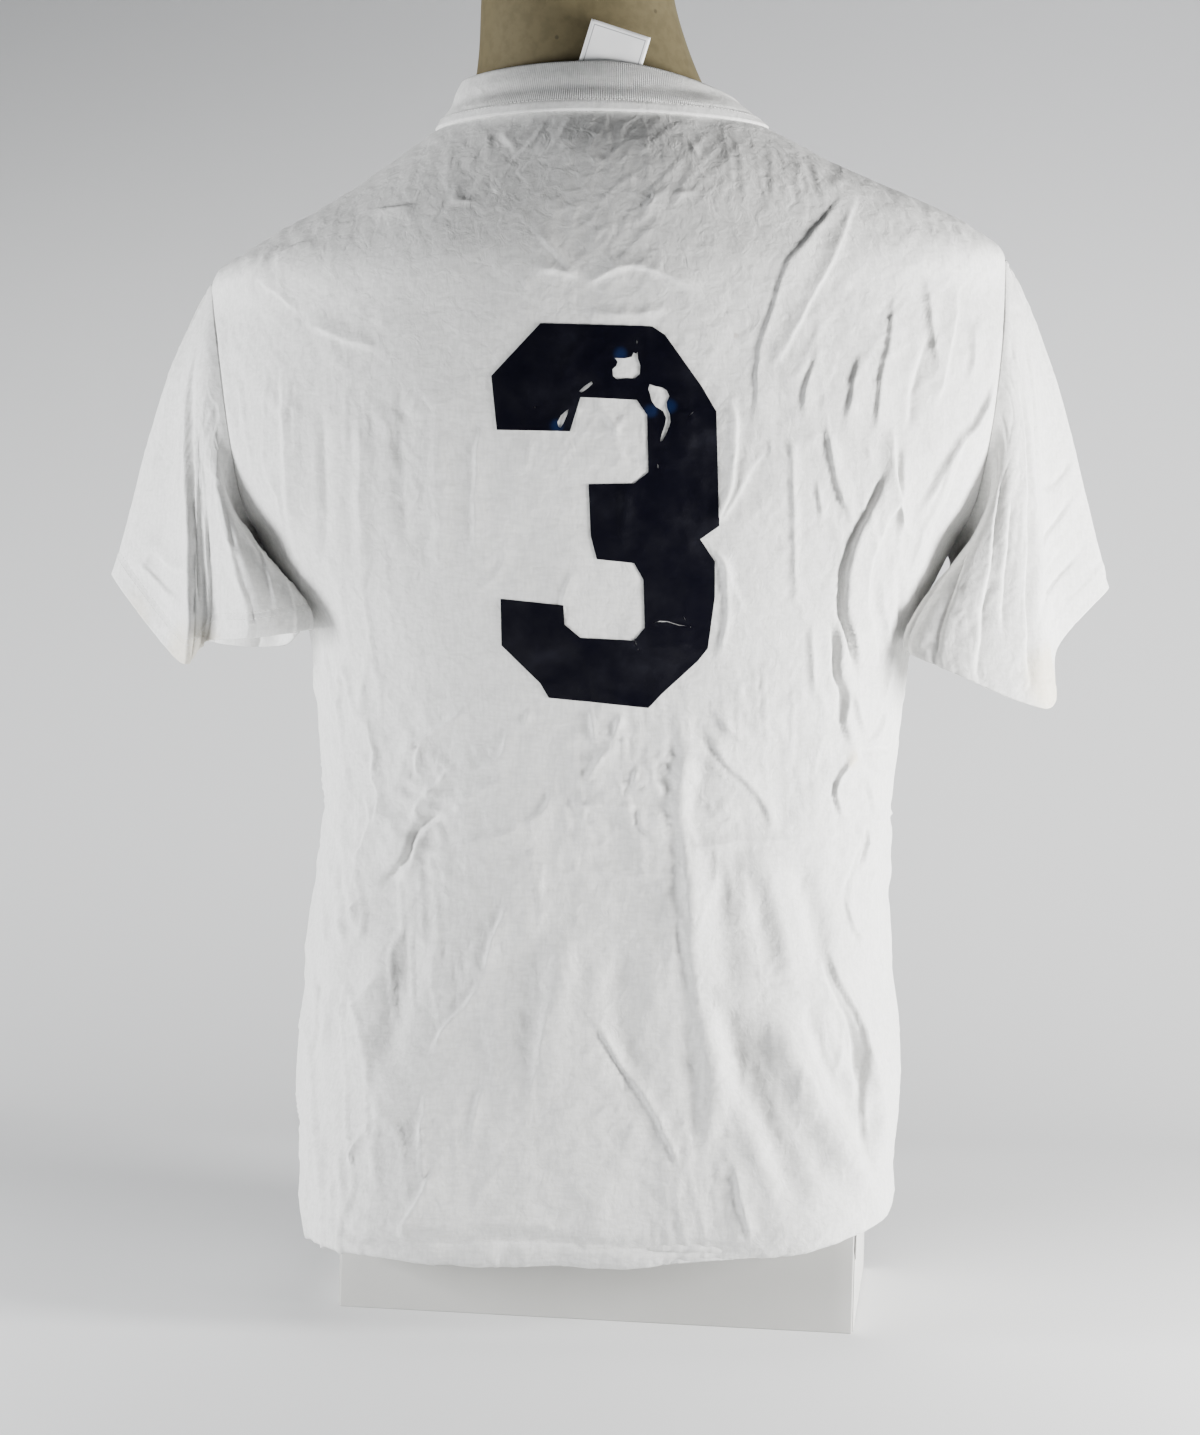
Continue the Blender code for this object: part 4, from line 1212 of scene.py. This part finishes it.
def rib_middle(count, rows):
    """The middle surface of the rib, from its foot to its folded top edge."""
    loop = neckline(count)
    away = loop - loop.mean(axis=0)
    away[:, 2] = 0
    away = unit(away)
    rise = lean = 0
    for axis, side, rises, leans in RIB_LIES:
        share = np.clip(away[:, axis] * side, 0, 1) ** 2
        rise, lean = rise + share * rises, lean + share * leans
    top = loop + np.stack([-away[:, 0] * lean, -away[:, 1] * lean, rise + RIB_TOP], axis=1)
    foot = loop + away * RIB_OUT + np.array([0, 0, RIB_FOOT])
    return foot + (top - foot) * np.linspace(0, 1, rows + 1)[:, None, None], rise


# %% [markdown]
# The rib is walked as a profile: up the outside, over the fold, down the inside. Four
# points per rib make a ridge and a groove. Above the sewn band is a dip for the stitches.

# %% Make the rib
def neck_rib():
    """The doubled rib as one closed skin, its outside, and the way round it."""
    around = np.linalg.norm(np.diff(neckline(400), axis=0), axis=1).sum() * 400 / 399
    ribs = int(around / RIB_PITCH)
    count = ribs * len(RIB_PROFILE)
    middle, rise = rib_middle(count, RIB_ROWS)
    facing = outward(middle, True)
    height = np.linspace(0, 1, RIB_ROWS + 1)[:, None] * rise[None, :]
    turn = np.arange(count)[None, :] / count
    knit = np.tile(RIB_PROFILE, ribs)[None, :]
    above_band = ramp(height - BAND_TALL, 0.0004, 0.0008)
    band = 0.0008 * (1 - ramp(height, BAND_TALL, 0.0006))
    dip = -0.00035 * bell(height - BAND_TALL, 0.0008, 0.0005)
    swell = 0.0007 * hills(turn * 9 + height * 0, height / 0.012, 31)
    swell = swell - 0.0009 * bell(height, 0.014, 0.004)
    outer_off = RIB_HALF_THICK + knit * above_band + band + dip + swell * above_band
    outer = middle + facing * outer_off[:, :, None]
    inner = middle - facing * (RIB_HALF_THICK + knit * 0.6)[:, :, None]
    top_up = unit(middle[-1] - middle[-2])
    fold = []
    for angle in np.radians((30, 60, 90, 120, 150)):
        radius = (RIB_HALF_THICK + knit[0] * abs(math.cos(angle)))[:, None]
        fold.append(middle[-1] + radius * (facing[-1] * math.cos(angle) + top_up * math.sin(angle)))
    skin = np.concatenate([outer, np.array(fold), inner[::-1]])
    foot_rim = rim_faces(np.arange(count) + (len(skin) - 1) * count, np.arange(count), True)
    faces = grid_faces(len(skin), count, True).tolist() + foot_rim.tolist()
    return piece("rib_neckband", skin.reshape(-1, 3), faces, RIB_FINISH), outer, around


rib, RIB_OUTER, RIB_AROUND = neck_rib()
fit(rib, "neck_rib")
print(f"rib {RIB_AROUND:.3f} m round, {len(rib.data.polygons)} quads")

# %% [markdown]
# ## Stitches
#
# A stitch is a short plump bit of thread that dips into the cloth at both ends; a row of
# them tells the eye that a hem is sewn. A bead has tips 0 and 1 and rings 2-5 and 6-9.
# Rows run round both cuffs as a twin needle leaves them, and along the neckband's foot.

# %% Sew rows of stitches
BEAD = ((0, 3, 2), (0, 4, 3), (0, 5, 4), (0, 2, 5), (1, 6, 7), (1, 7, 8), (1, 8, 9), (1, 9, 6),
        (2, 3, 7, 6), (3, 4, 8, 7), (4, 5, 9, 8), (5, 2, 6, 9))


def stitches(name, path, facing, pitch=0.0030, long=0.0023, thick=0.00030):
    """A row of stitches along a closed path; facing is the cloth's outward side."""
    ring = np.vstack([path, path[:1]])
    along = run_of(ring)
    count = int(along[-1] / pitch)
    centre_at = (np.arange(count) + 0.5) * along[-1] / count
    centre = read_line(ring, along, centre_at)
    out = unit(read_line(np.vstack([facing, facing[:1]]), along, centre_at))
    ahead = unit(read_line(ring, along, np.minimum(centre_at + 0.0008, along[-1])) - centre)
    aside = unit(np.cross(ahead, out))
    points = [centre - ahead * long / 2, centre + ahead * long / 2]
    for end in (-0.25, 0.25):
        for side, up in ((1, 0), (0, 1), (-1, 0), (0, -1)):
            points.append(centre + ahead * long * end + aside * thick * side + out * thick * up)
    faces = [tuple(i + len(points) * k for i in face) for k in range(count) for face in BEAD]
    row = piece(name, np.stack(points, axis=1).reshape(-1, 3), faces, THREAD_FINISH)
    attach(row, "root")
    return row


def round_cuff(facing, up):
    """A line round a sleeve at a height above its cuff edge, on the outer skin."""
    _, grid, from_cuff, thick = SLEEVES[facing]
    normals = outward(grid, True)
    outer = grid + normals * thick[:, :, None] / 2
    return [
        np.array([read_line(values[::-1, c], from_cuff[::-1, c], up)
                  for c in range(SLEEVE_AROUND)])
        for values in (outer, normals)
    ]


for side_word in ("left", "right"):
    for number, up in ((1, HEM_UP + 0.0012), (2, HEM_UP - 0.0030)):
        stitches(f"{side_word}_cuff_stitches_{number}", *round_cuff(side_word, up))

# %% Sew the foot of the neckband
SEAT_UP = BAND_TALL + 0.0008
EVERY = 8
rib_normals = outward(RIB_OUTER, True)
rib_height = np.linalg.norm(RIB_OUTER - RIB_OUTER[:1], axis=2)
seat = [min(np.searchsorted(heights, SEAT_UP), RIB_ROWS) for heights in rib_height.T]
columns_round = np.arange(RIB_OUTER.shape[1])
neck_path = RIB_OUTER[seat, columns_round][::EVERY]
neck_out = rib_normals[seat, columns_round][::EVERY]
neck_row = stitches("neckband_stitches", neck_path, neck_out, 0.0026, 0.0020, 0.00024)
print("neckband row:", len(neck_row.data.polygons) // 12, "stitches")

# %% [markdown]
# ## The neck label
#
# A small woven satin label stands up out of the neck, tilted, held by the rib in front
# of it. A plain woven line runs round its face; it reads the label's flat coordinates.

# %% Make the label's satin
LABEL_WIDE = 0.038
LABEL_TALL = 0.046
LABEL_X = 0.0130
LABEL_FOOT = 0.7535
LABEL_TILT = math.radians(-16)
# half the CAD rib, half the CAD label and the gap between them
LABEL_CLEAR = 0.0012 + 0.0005 + 0.0003
LINE_INSET = 0.0027
LINE_GREY = (0.10, 0.10, 0.12)


def satin():
    """Woven satin with a thin dark line near its edge."""
    made = finish("label_satin_weave", (0.80, 0.80, 0.80), 0.42, Sheen_Weight=0.3)

    def sums(operation, *values):
        """One sum over sockets and plain numbers."""
        return add(made, "Math", dict(enumerate(values)), operation=operation)

    flat = add(made, "UVMap", {}, uv_map="flat")
    inset = []
    for axis, long in (("X", LABEL_WIDE), ("Y", LABEL_TALL)):
        centred = sums("SUBTRACT", add(made, "SeparateXYZ", {"Vector": flat}, axis), 0.5)
        inset.append(sums("MULTIPLY", sums("SUBTRACT", 0.5, sums("ABSOLUTE", centred)), long))
    off_line = sums("ABSOLUTE", sums("SUBTRACT", sums("MINIMUM", *inset), LINE_INSET))
    line = steps(made, off_line, 0.0002, 0.0004, 0.75, 0.0)
    shade = noise(made, here(made), 90.0, 2.0)
    ground = blend_colour(made, shade, (0.72, 0.73, 0.75), (0.84, 0.84, 0.83))
    wire(made, "Base Color", blend_colour(made, line, ground, LINE_GREY))
    weave = add(made, "TexWave",
                {"Vector": flat, "Scale": 38.0, "Distortion": 0.4, "Detail": 1.0}, "Fac",
                wave_type="BANDS", bands_direction="Y")
    bump(made, weave, 0.25, 0.00012)
    return made


SATIN_FINISH = satin()

# %% Make the label
def label_grid(columns=22, rows=26):
    """The label, bent like the rib that it is sewn behind."""
    top = rib_middle(400, 3)[0][-1]
    behind = top[top[:, 1] > 0]
    behind = behind[np.argsort(behind[:, 0])]
    across = np.linspace(-0.5, 0.5, columns + 1)[None, :] * LABEL_WIDE
    up = np.linspace(0, 1, rows + 1)[:, None] * LABEL_TALL
    x = LABEL_X + across * math.cos(LABEL_TILT) + up * math.sin(LABEL_TILT)
    z = LABEL_FOOT - across * math.sin(LABEL_TILT) + up * math.cos(LABEL_TILT)
    y = np.interp(x, behind[:, 0], behind[:, 1]) - LABEL_CLEAR
    free = np.clip(up / LABEL_TALL - 0.55, 0, 1)
    y = y - 0.0016 * free * np.cos(across / LABEL_WIDE * 5.0)
    return np.stack([x, y, z], axis=2)


label_cells = label_grid()
label = cloth("satin_label", label_cells, SATIN_FINISH, 0.0005)
rows_up, columns_across = label_cells.shape[:2]
flat_map = label.data.uv_layers.new(name="flat")
for loop in label.data.loops:
    up, across = divmod(loop.vertex_index % (rows_up * columns_across), columns_across)
    flat_map.data[loop.index].uv = (across / (columns_across - 1), up / (rows_up - 1))
fit(label, "neck_label")
print("label quads:", len(label.data.polygons))

# %% [markdown]
# ## The numeral
#
# A plain block 3 is heat-pressed on the back. The film is thin and glossy, follows every
# crease under it, and has cracked and flaked where it was folded. A filled 2D curve cuts
# its outline and flakes in one go; the flat film is then cut into small cells and dropped
# onto the creased cloth. The outline is in metres round its middle, with x to the
# picture's right; a flake is a row of points in millimetres, in the shirt's own frame.

# %% Name the numeral's outline and its flakes
NUMERAL_CENTRE = (0.0065, 0.5010)
NUMERAL_SCALE = 0.977
NUMERAL = numbers("""
-.0395,.1155 .029,.115 .037,.11 .0595,.08 .0695,.064 .0715,.025 .073,-.006
.0615,-.0145 .071,-.028 .0715,-.05 .068,-.082 .062,-.09 .04,-.111 .032,-.12
.01,-.118 -.03,-.115 -.0355,-.106 -.06,-.083 -.061,-.054 -.022,-.057 -.021,-.069
-.011,-.077 .022,-.078 .0285,-.07 .027,-.04 .021,-.03 -.002,-.028 -.006,-.014
-.008,.018 .02,.019 .0285,.026 .027,.061 .0205,.07 -.014,.071 -.02,.05
-.065,.05 -.069,.083
""")
FLAKES_MM = numbers("""
# the two big ones, at the top right of the numeral
0,594 -6,594 -10,595 -11,597.6 -12.4,597 -13.5,598 -13.7,594 -15.2,590 -15,585 -12,582 \
-7.4,582.4 -1.6,581.3 1,583.4 1.4,587.4 -.8,589.4 -1.6,591.8
-21,579 -25,577.7 -29,577 -31.5,575.3 -33,572 -31.5,568.5 -31.8,565 -33.6,561 -34,556.5 \
-32.2,551 -29.5,545.4 -28,544.6 -28.9,549.4 -30.7,555 -31.3,559 -29.5,563 -25,565.6 -22.4,568.8 \
-21.5,573 -20.2,576
# slivers at the inner corner
21,574 17.6,577.2 13.8,579.8 13,578.6 16,575.6 19.8,573
33,552.3 33.8,555 31.8,559 28.8,562 27.2,563 28.2,559 30.2,554.3 31.8,551.8
# specks and short cracks
-12.6,605 -13.4,604 -13,602.6 -12.4,603.2
-26.8,531.5 -27.6,530.6 -27.4,528.6 -26.6,529.4
-14.8,521.4 -15.6,521 -15.2,520
-45,560.6 -46.6,562.4 -48,563.4 -46.9,561.9
47.6,564.2 46.9,564 47.2,563
-15,426 -15.9,424.6 -17,421.8 -16,423
-17.5,419.8 -18.2,419.4 -17.8,418.8
-44.6,440.6 -45.2,439.4 -46.4,437.4 -45.4,438.4
-48.7,434.2 -49.5,433.8 -49,433.1
-26,435.4 -30,437 -35,437 -42,434.9 -47.6,434 -42,434.5 -35,436.5 -30,436.4
""")
print(sum(map(len, NUMERAL)), "corners,", len(FLAKES_MM), "flakes")

# %% [markdown]
# The film is nearly black navy, with fine crackle and lighter, rougher scuffs. A painted blue
# highlight lies as a soft spot beside each big flake.

# %% Make the navy film
# painted blue highlights: their colour, and where they lie beside the big flakes
HIGHLIGHT_BLUE = (0.004, 0.014, 0.055)
BLUE_HIGHLIGHT_SPOTS = ((-0.003, 0.121, 0.5965), (-0.0335, 0.121, 0.566), (0.034, 0.121, 0.553),
              (-0.022, 0.121, 0.563))


def navy_film():
    """Heat-pressed navy film: glossy, crackled, with painted blue highlights at its broken edges.
    """
    made = finish("navy_film", (0.003, 0.003, 0.008), 0.34, Coat_Weight=0.03,
                  Coat_Roughness=0.25, Specular_IOR_Level=0.16)
    place = here(made)
    scuff = noise(made, place, 26.0, 6.0, Roughness=0.65)
    scuffed = steps(made, scuff, 0.52, 0.78, 0.0, 1.0)
    tone = blend_colour(made, scuffed, (0.0014, 0.0014, 0.0045), (0.004, 0.0043, 0.010))
    # painted blue highlights beside the big flakes
    for centre in BLUE_HIGHLIGHT_SPOTS:
        tone = spot(made, place, tone, centre, 0.0060, HIGHLIGHT_BLUE, 0.60)
    wire(made, "Base Color", tone)
    wire(made, "Roughness", steps(made, scuff, 0.35, 0.75, 0.28, 0.55))
    cracks = add(made, "TexVoronoi", {"Vector": place, "Scale": 420.0}, "Distance",
                 feature="DISTANCE_TO_EDGE")
    crackle = bump(made, cracks, 0.12, 0.0003)
    bump(made, noise(made, place, 60.0, 3.0), 0.35, 0.0015, Normal=crackle)
    return made


NAVY_FINISH = navy_film()

# %% Cut the flat film and drop it on the cloth
FILM_CELL = 0.0022
FILM_LIFT = 0.00055
SKIRT_LIFT = 0.00005
FILM_HALF = (0.075, 0.120)


def sliced(shape, normal, place):
    """Cut a bmesh along a plane and keep both sides."""
    geometry = shape.verts[:] + shape.edges[:] + shape.faces[:]
    bmesh.ops.bisect_plane(shape, geom=geometry, plane_co=place, plane_no=normal)


def flat_film():
    """The numeral's outline filled, with its flakes as holes, cut into small cells."""
    pattern = bpy.data.curves.new("numeral_pattern", "CURVE")
    pattern.dimensions = "2D"
    pattern.fill_mode = "BOTH"
    x_mid, z_mid = NUMERAL_CENTRE
    shapes = [[(x_mid - x * NUMERAL_SCALE, z_mid + y * NUMERAL_SCALE)
               for row in NUMERAL for x, y in row]]
    shapes += [[(x / 1000, z / 1000) for x, z in flake] for flake in FLAKES_MM]
    for shape in shapes:
        spline = pattern.splines.new("POLY")
        spline.points.add(len(shape) - 1)
        for point, (x, z) in zip(spline.points, shape):
            point.co = (x, z, 0.0, 1.0)
        spline.use_cyclic_u = True
    holder = bpy.data.objects.new("numeral_pattern", pattern)
    bpy.context.collection.objects.link(holder)
    bpy.context.view_layer.update()
    filled = bpy.data.meshes.new_from_object(holder)
    bpy.data.objects.remove(holder, do_unlink=True)
    film = bmesh.new()
    film.from_mesh(filled)
    bmesh.ops.remove_doubles(film, verts=film.verts, dist=0.00005)
    for axis, normal in enumerate(((1, 0, 0), (0, 1, 0))):
        count = int(FILM_HALF[axis] / FILM_CELL)
        for k in range(-count, count + 1):
            sliced(film, normal, np.array(normal) * (NUMERAL_CENTRE[axis] + k * FILM_CELL))
    bmesh.ops.dissolve_degenerate(film, dist=0.00003, edges=film.edges)
    return film


def pressed_numeral(under):
    """The film laid on the creased back, with its cut edges turned down to the cloth."""
    film = flat_film()
    quads = grid_faces(*under.shape[:2], False).tolist()
    tree = BVHTree.FromPolygons(under.reshape(-1, 3).tolist(), quads)
    edges = [edge for edge in film.edges if edge.is_boundary]
    grown = bmesh.ops.extrude_edge_only(film, edges=edges)
    skirt = {v for v in grown["geom"] if isinstance(v, bmesh.types.BMVert)}
    for vert in film.verts:
        hit, normal, _, _ = tree.ray_cast((vert.co.x, 1.0, vert.co.y), (0, -1, 0))
        if normal.y < 0:
            normal = -normal
        vert.co = hit + normal * (SKIRT_LIFT if vert in skirt else FILM_LIFT)
    bmesh.ops.recalc_face_normals(film, faces=film.faces)
    return from_bmesh("pressed_numeral", film, NAVY_FINISH, 60)


numeral = fit(pressed_numeral(BACK_CLOTH), "numeral")
print("numeral faces:", len(numeral.data.polygons))

# %% [markdown]
# ## The dress form
#
# A plain limbless torso with a neck, in a slightly mottled khaki skin. Only its neck shows,
# yet it is whole, because the shirt's shape rests on it. It is a stack of ovals closed by
# a low domed cap.

# %% Name the form's levels
FORM_COLUMNS = "z xl xr yb yf power".split()
FORM = numbers("""
.0753 .12 .12 .08 .08 2.3
.08 .132 .132 .09 .09 2.3
.09 .146 .146 .1 .1 2.3
.11 .16 .16 .109 .108 2.3
.15 .168 .168 .112 .11 2.3
.2 .165 .165 .106 .106 2.3
.25 .156 .156 .099 .102 2.3
.3 .15 .15 .096 .101 2.3
.35 .152 .152 .099 .104 2.3
.4 .158 .158 .105 .109 2.3
.45 .165 .165 .11 .114 2.3
.5 .175 .175 .115 .117 2.2
.55 .187 .187 .117 .116 2.1
.59 .198 .199 .115 .111 2.05
.62 .205 .208 .111 .106 2
.645 .208 .212 .105 .101 2
.66 .206 .212 .1 .098 2
.672 .2 .208 .096 .095 2
.682 .189 .2 .092 .089 2
.692 .174 .188 .088 .083 2
.702 .159 .172 .083 .076 2
.712 .145 .15 .078 .069 2
.724 .129 .121 .071 .062 2
.736 .1125 .094 .063 .058 2
.748 .0995 .072 .056 .057 2
.76 .0935 .059 .052 .057 2
.772 .0915 .052 .05 .058 2
.795 .0895 .042 .048 .057 2
.822 .089 .0335 .046 .056 2
.844 .088 .03 .044 .055 2
.852 .083 .025 .04 .051 2
.855 .073 .015 .031 .042 2
""")
FORM_AROUND = 144
FORM_CUTS = 5
FORM_SAMPLES = 480
CAP = ((0.85, 0.0008), (0.6, 0.0014), (0.3, 0.0018), (0.04, 0.0020))


# %% Make the form's skin and the form
def form_skin():
    """Khaki cloth-covered shell, mottled and matt."""
    made = finish("khaki_skin", (0.105, 0.085, 0.042), 0.72, Specular_IOR_Level=0.25)
    place = here(made)
    fine = noise(made, place, 160.0, 4.0)
    tone = blend_colour(made, noise(made, place, 14.0, 4.0), (0.085, 0.069, 0.033),
                        (0.130, 0.108, 0.058))
    grain = steps(made, fine, 0.35, 0.7, 0.0, 0.45)
    tone = blend_colour(made, grain, tone, (0.070, 0.057, 0.028))
    speck = add(made, "TexVoronoi", {"Vector": place, "Scale": 34.0}, "Distance")
    dots = steps(made, speck, 0.03, 0.06, 0.6, 0.0)
    wire(made, "Base Color", blend_colour(made, dots, tone, (0.035, 0.028, 0.016)))
    bump(made, fine, 0.3, 0.0004)
    return made


def form_ring(row):
    """One level of the dress form."""
    turn = np.linspace(0, 2 * math.pi, FORM_SAMPLES, endpoint=False)
    root = 2 / row["power"]
    c, s = np.cos(turn), np.sin(turn)
    half = (row["xl"] + row["xr"]) / 2
    x = (row["xl"] - row["xr"]) / 2 + half * np.sign(c) * np.abs(c) ** root
    y = np.where(s > 0, row["yb"], row["yf"]) * np.sign(s) * np.abs(s) ** root
    return spaced(np.stack([x, y, np.full_like(x, row["z"])], axis=1), FORM_AROUND, True)


def dress_form():
    """The whole form: smooth rings, a flat foot and a low domed cap."""
    places = np.arange((len(FORM) - 1) * FORM_CUTS + 1) / FORM_CUTS
    rings = [form_ring(level(FORM, FORM_COLUMNS, at)) for at in places]
    top = rings[-1]
    middle = top.mean(axis=0)
    rings += [middle + (top - middle) * share + np.array([0, 0, rise]) for share, rise in CAP]
    rings = np.array(rings)
    faces = grid_faces(len(rings), FORM_AROUND, True).tolist()
    faces.append(list(range(FORM_AROUND))[::-1])
    last = (len(rings) - 1) * FORM_AROUND
    faces.append(list(range(last, last + FORM_AROUND)))
    return piece("torso_form", rings.reshape(-1, 3), faces, form_skin())


form = fit(dress_form(), "dress_form")
print("form faces:", len(form.data.polygons))

# %% [markdown]
# ## The card box
#
# The form stands on a low white card box, turned a little from square: a bevelled block
# whose walls belly by less than a millimetre, and at each end two thin cards, the side of
# its lid and a flap, with thin dark gaps between them.

# %% Make the card finish
BOX_WIDE = 0.324
BOX_DEEP = 0.164
BOX_TALL = 0.075
BOX_MIDDLE = (-0.009, 0.0130)
BOX_YAW = math.radians(-7)
BOX_CELL = 0.012
CARD = 0.0007
INSET = 2 * CARD


def card_finish():
    """Matt white card, faintly fibrous, greyed a little by handling."""
    made = finish("white_box_card", (0.60, 0.596, 0.575), 0.78, Specular_IOR_Level=0.3)
    place = here(made)
    cloudy = noise(made, place, 16.0, 5.0)
    tone = blend_colour(made, cloudy, (0.53, 0.526, 0.505), (0.61, 0.606, 0.585))
    wire(made, "Base Color", tone)
    bump(made, noise(made, place, 500.0, 3.0), 0.2, 0.0002)
    return made


CARD_FINISH = card_finish()

# %% Fold the box
def card_block(name, size, middle, round_edge, belly=0.0):
    """A card body or flap: a finely cut bevelled block; belly bows its long walls."""
    shape = bmesh.new()
    bmesh.ops.create_cube(shape, size=1.0)
    bmesh.ops.scale(shape, vec=size, verts=shape.verts)
    bmesh.ops.bevel(shape, geom=shape.edges[:], offset=round_edge, segments=3, profile=0.6,
                    affect="EDGES")
    for axis, normal in enumerate(np.eye(3)):
        cuts = max(1, int(size[axis] / BOX_CELL))
        for k in range(1, cuts):
            sliced(shape, normal, normal * size[axis] * (k / cuts - 0.5))
    for vert in shape.verts:
        u, w = vert.co.x / size[0] * 2, vert.co.z / size[2] * 2
        vert.co.y -= math.copysign(belly * (u * u) * (1 - w * w), vert.co.y)
    turn = Matrix.Rotation(BOX_YAW, 4, "Z")
    place = Matrix.Translation((*BOX_MIDDLE, 0.0)) @ turn @ Matrix.Translation(middle)
    bmesh.ops.transform(shape, matrix=place, verts=shape.verts)
    return fit(from_bmesh(name, shape, CARD_FINISH, 40))


box_body = card_block(
    "folded_box", (BOX_WIDE - 2 * INSET, BOX_DEEP, BOX_TALL), (0, 0, BOX_TALL / 2), 0.0009, 0.0006,
)
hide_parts("card_box")
for end, side_word in ((1, "left"), (-1, "right")):
    for k, (low, tall, depth) in enumerate(((0.0010, 0.0440, 0.5), (0.0464, 0.0270, 1.5))):
        card_block(
            f"box_flap_{side_word}_{k + 1}", (CARD, BOX_DEEP - 0.003, tall),
            (end * (BOX_WIDE / 2 - INSET + CARD * depth), 0, low + tall / 2), 0.0002,
        )
print("box", [round(v, 3) for v in (BOX_WIDE, BOX_DEEP, BOX_TALL)])

# %% [markdown]
# ## Floor, backdrop and light
#
# A pale seamless sweep runs from the floor up the wall in one curve, so no horizon shows. Its
# colour is painted darker up the wall, and darker at the upper left than at the upper right:
# painted shade.
# The light comes mostly from the sides, strong from the picture's right and weaker from
# its left, and the air is dimmer overhead. So the shirt's middle is darker than its
# flanks, its shoulders are greyer, and every fold shows.

# %% Lay the seamless floor
FLOOR_HALF_WIDE = 3.2
FLOOR_ENDS = (2.9, 1.5, 0.4)
WALL_AT = -1.15
WALL_TALL = 2.6
CURVE = 0.7
# the paper's own colour low down, then painted shade high on the wall, deeper at the left
PAPER_LOW = (0.80, 0.805, 0.81)
PAPER_SHADED_HIGH_RIGHT = (0.46, 0.465, 0.48)
PAPER_SHADED_HIGH_LEFT = (0.240, 0.243, 0.248)


def sweep():
    """A floor that curves up into a wall behind the form, with painted shade darkening the wall
    upwards and to the left.
    """
    line = [(y, 0.0) for y in (*FLOOR_ENDS, WALL_AT + CURVE)]
    for angle in np.linspace(0, math.pi / 2, 25)[1:]:
        line.append((WALL_AT + CURVE - CURVE * math.sin(angle), CURVE - CURVE * math.cos(angle)))
    line.append((WALL_AT, WALL_TALL))
    across = np.linspace(FLOOR_HALF_WIDE, -FLOOR_HALF_WIDE, 9)
    grid = np.array([[(x, y, z) for x in across] for y, z in line])
    made = finish("pale_paper_painted_shade", PAPER_LOW, 0.9)
    # painted shade: the paper is darker up the wall, and darker at the upper left than at the upper
    # right
    leftward_shade, height = (
        steps(made, add(made, "SeparateXYZ", {"Vector": here(made)}, axis), low, high)
        for axis, low, high in (("X", -0.8, 0.8), ("Z", 0.10, 1.15))
    )
    top = blend_colour(made, leftward_shade, PAPER_SHADED_HIGH_RIGHT, PAPER_SHADED_HIGH_LEFT)
    wire(made, "Base Color", blend_colour(made, height, PAPER_LOW, top))
    thing = cloth("seamless_floor", grid, made)
    return thing


print("behind and below:", sweep().name)

# %% Hang the lamps
AIR_COLOUR = (0.95, 0.97, 1.0, 1.0)
# how bright the air is, from low directions to high ones
AIR_BY_HEIGHT = {"From Min": 0.05, "From Max": 0.75, "To Min": 0.19, "To Max": 0.05}


def lamp(name, place, target, size, watts, colour):
    """A soft square lamp that faces its target."""
    light = bpy.data.lights.new(name, "AREA")
    light.shape = "SQUARE"
    light.size = size
    light.energy = watts
    light.color = colour
    thing = bpy.data.objects.new(name, light)
    thing.location = place
    direction = Vector(target) - Vector(place)
    thing.rotation_euler = direction.to_track_quat("-Z", "Y").to_euler()
    thing.visible_camera = False
    bpy.context.collection.objects.link(thing)
    return thing


lamps = [
    lamp("right_softbox", (-1.20, 0.40, 0.36), (0.0, 0.0, 0.52), 0.35, 60.0, (1.0, 0.995, 0.98)),
    lamp("left_softbox", (1.30, 0.40, 0.38), (0.0, 0.0, 0.44), 0.4, 34.0, (0.98, 0.99, 1.0)),
]
sky = bpy.data.worlds.new("studio_air")
sky.use_nodes = True
air = sky.node_tree.nodes["Background"]
air.inputs["Color"].default_value = AIR_COLOUR
heading = add(sky, "TexCoord", {}, "Generated")
height = add(sky, "SeparateXYZ", {"Vector": heading}, "Z")
dimming = add(sky, "MapRange", {"Value": height, **AIR_BY_HEIGHT})
sky.node_tree.links.new(dimming, air.inputs["Strength"])
bpy.context.scene.world = sky
print("lamps:", [thing.name for thing in lamps])
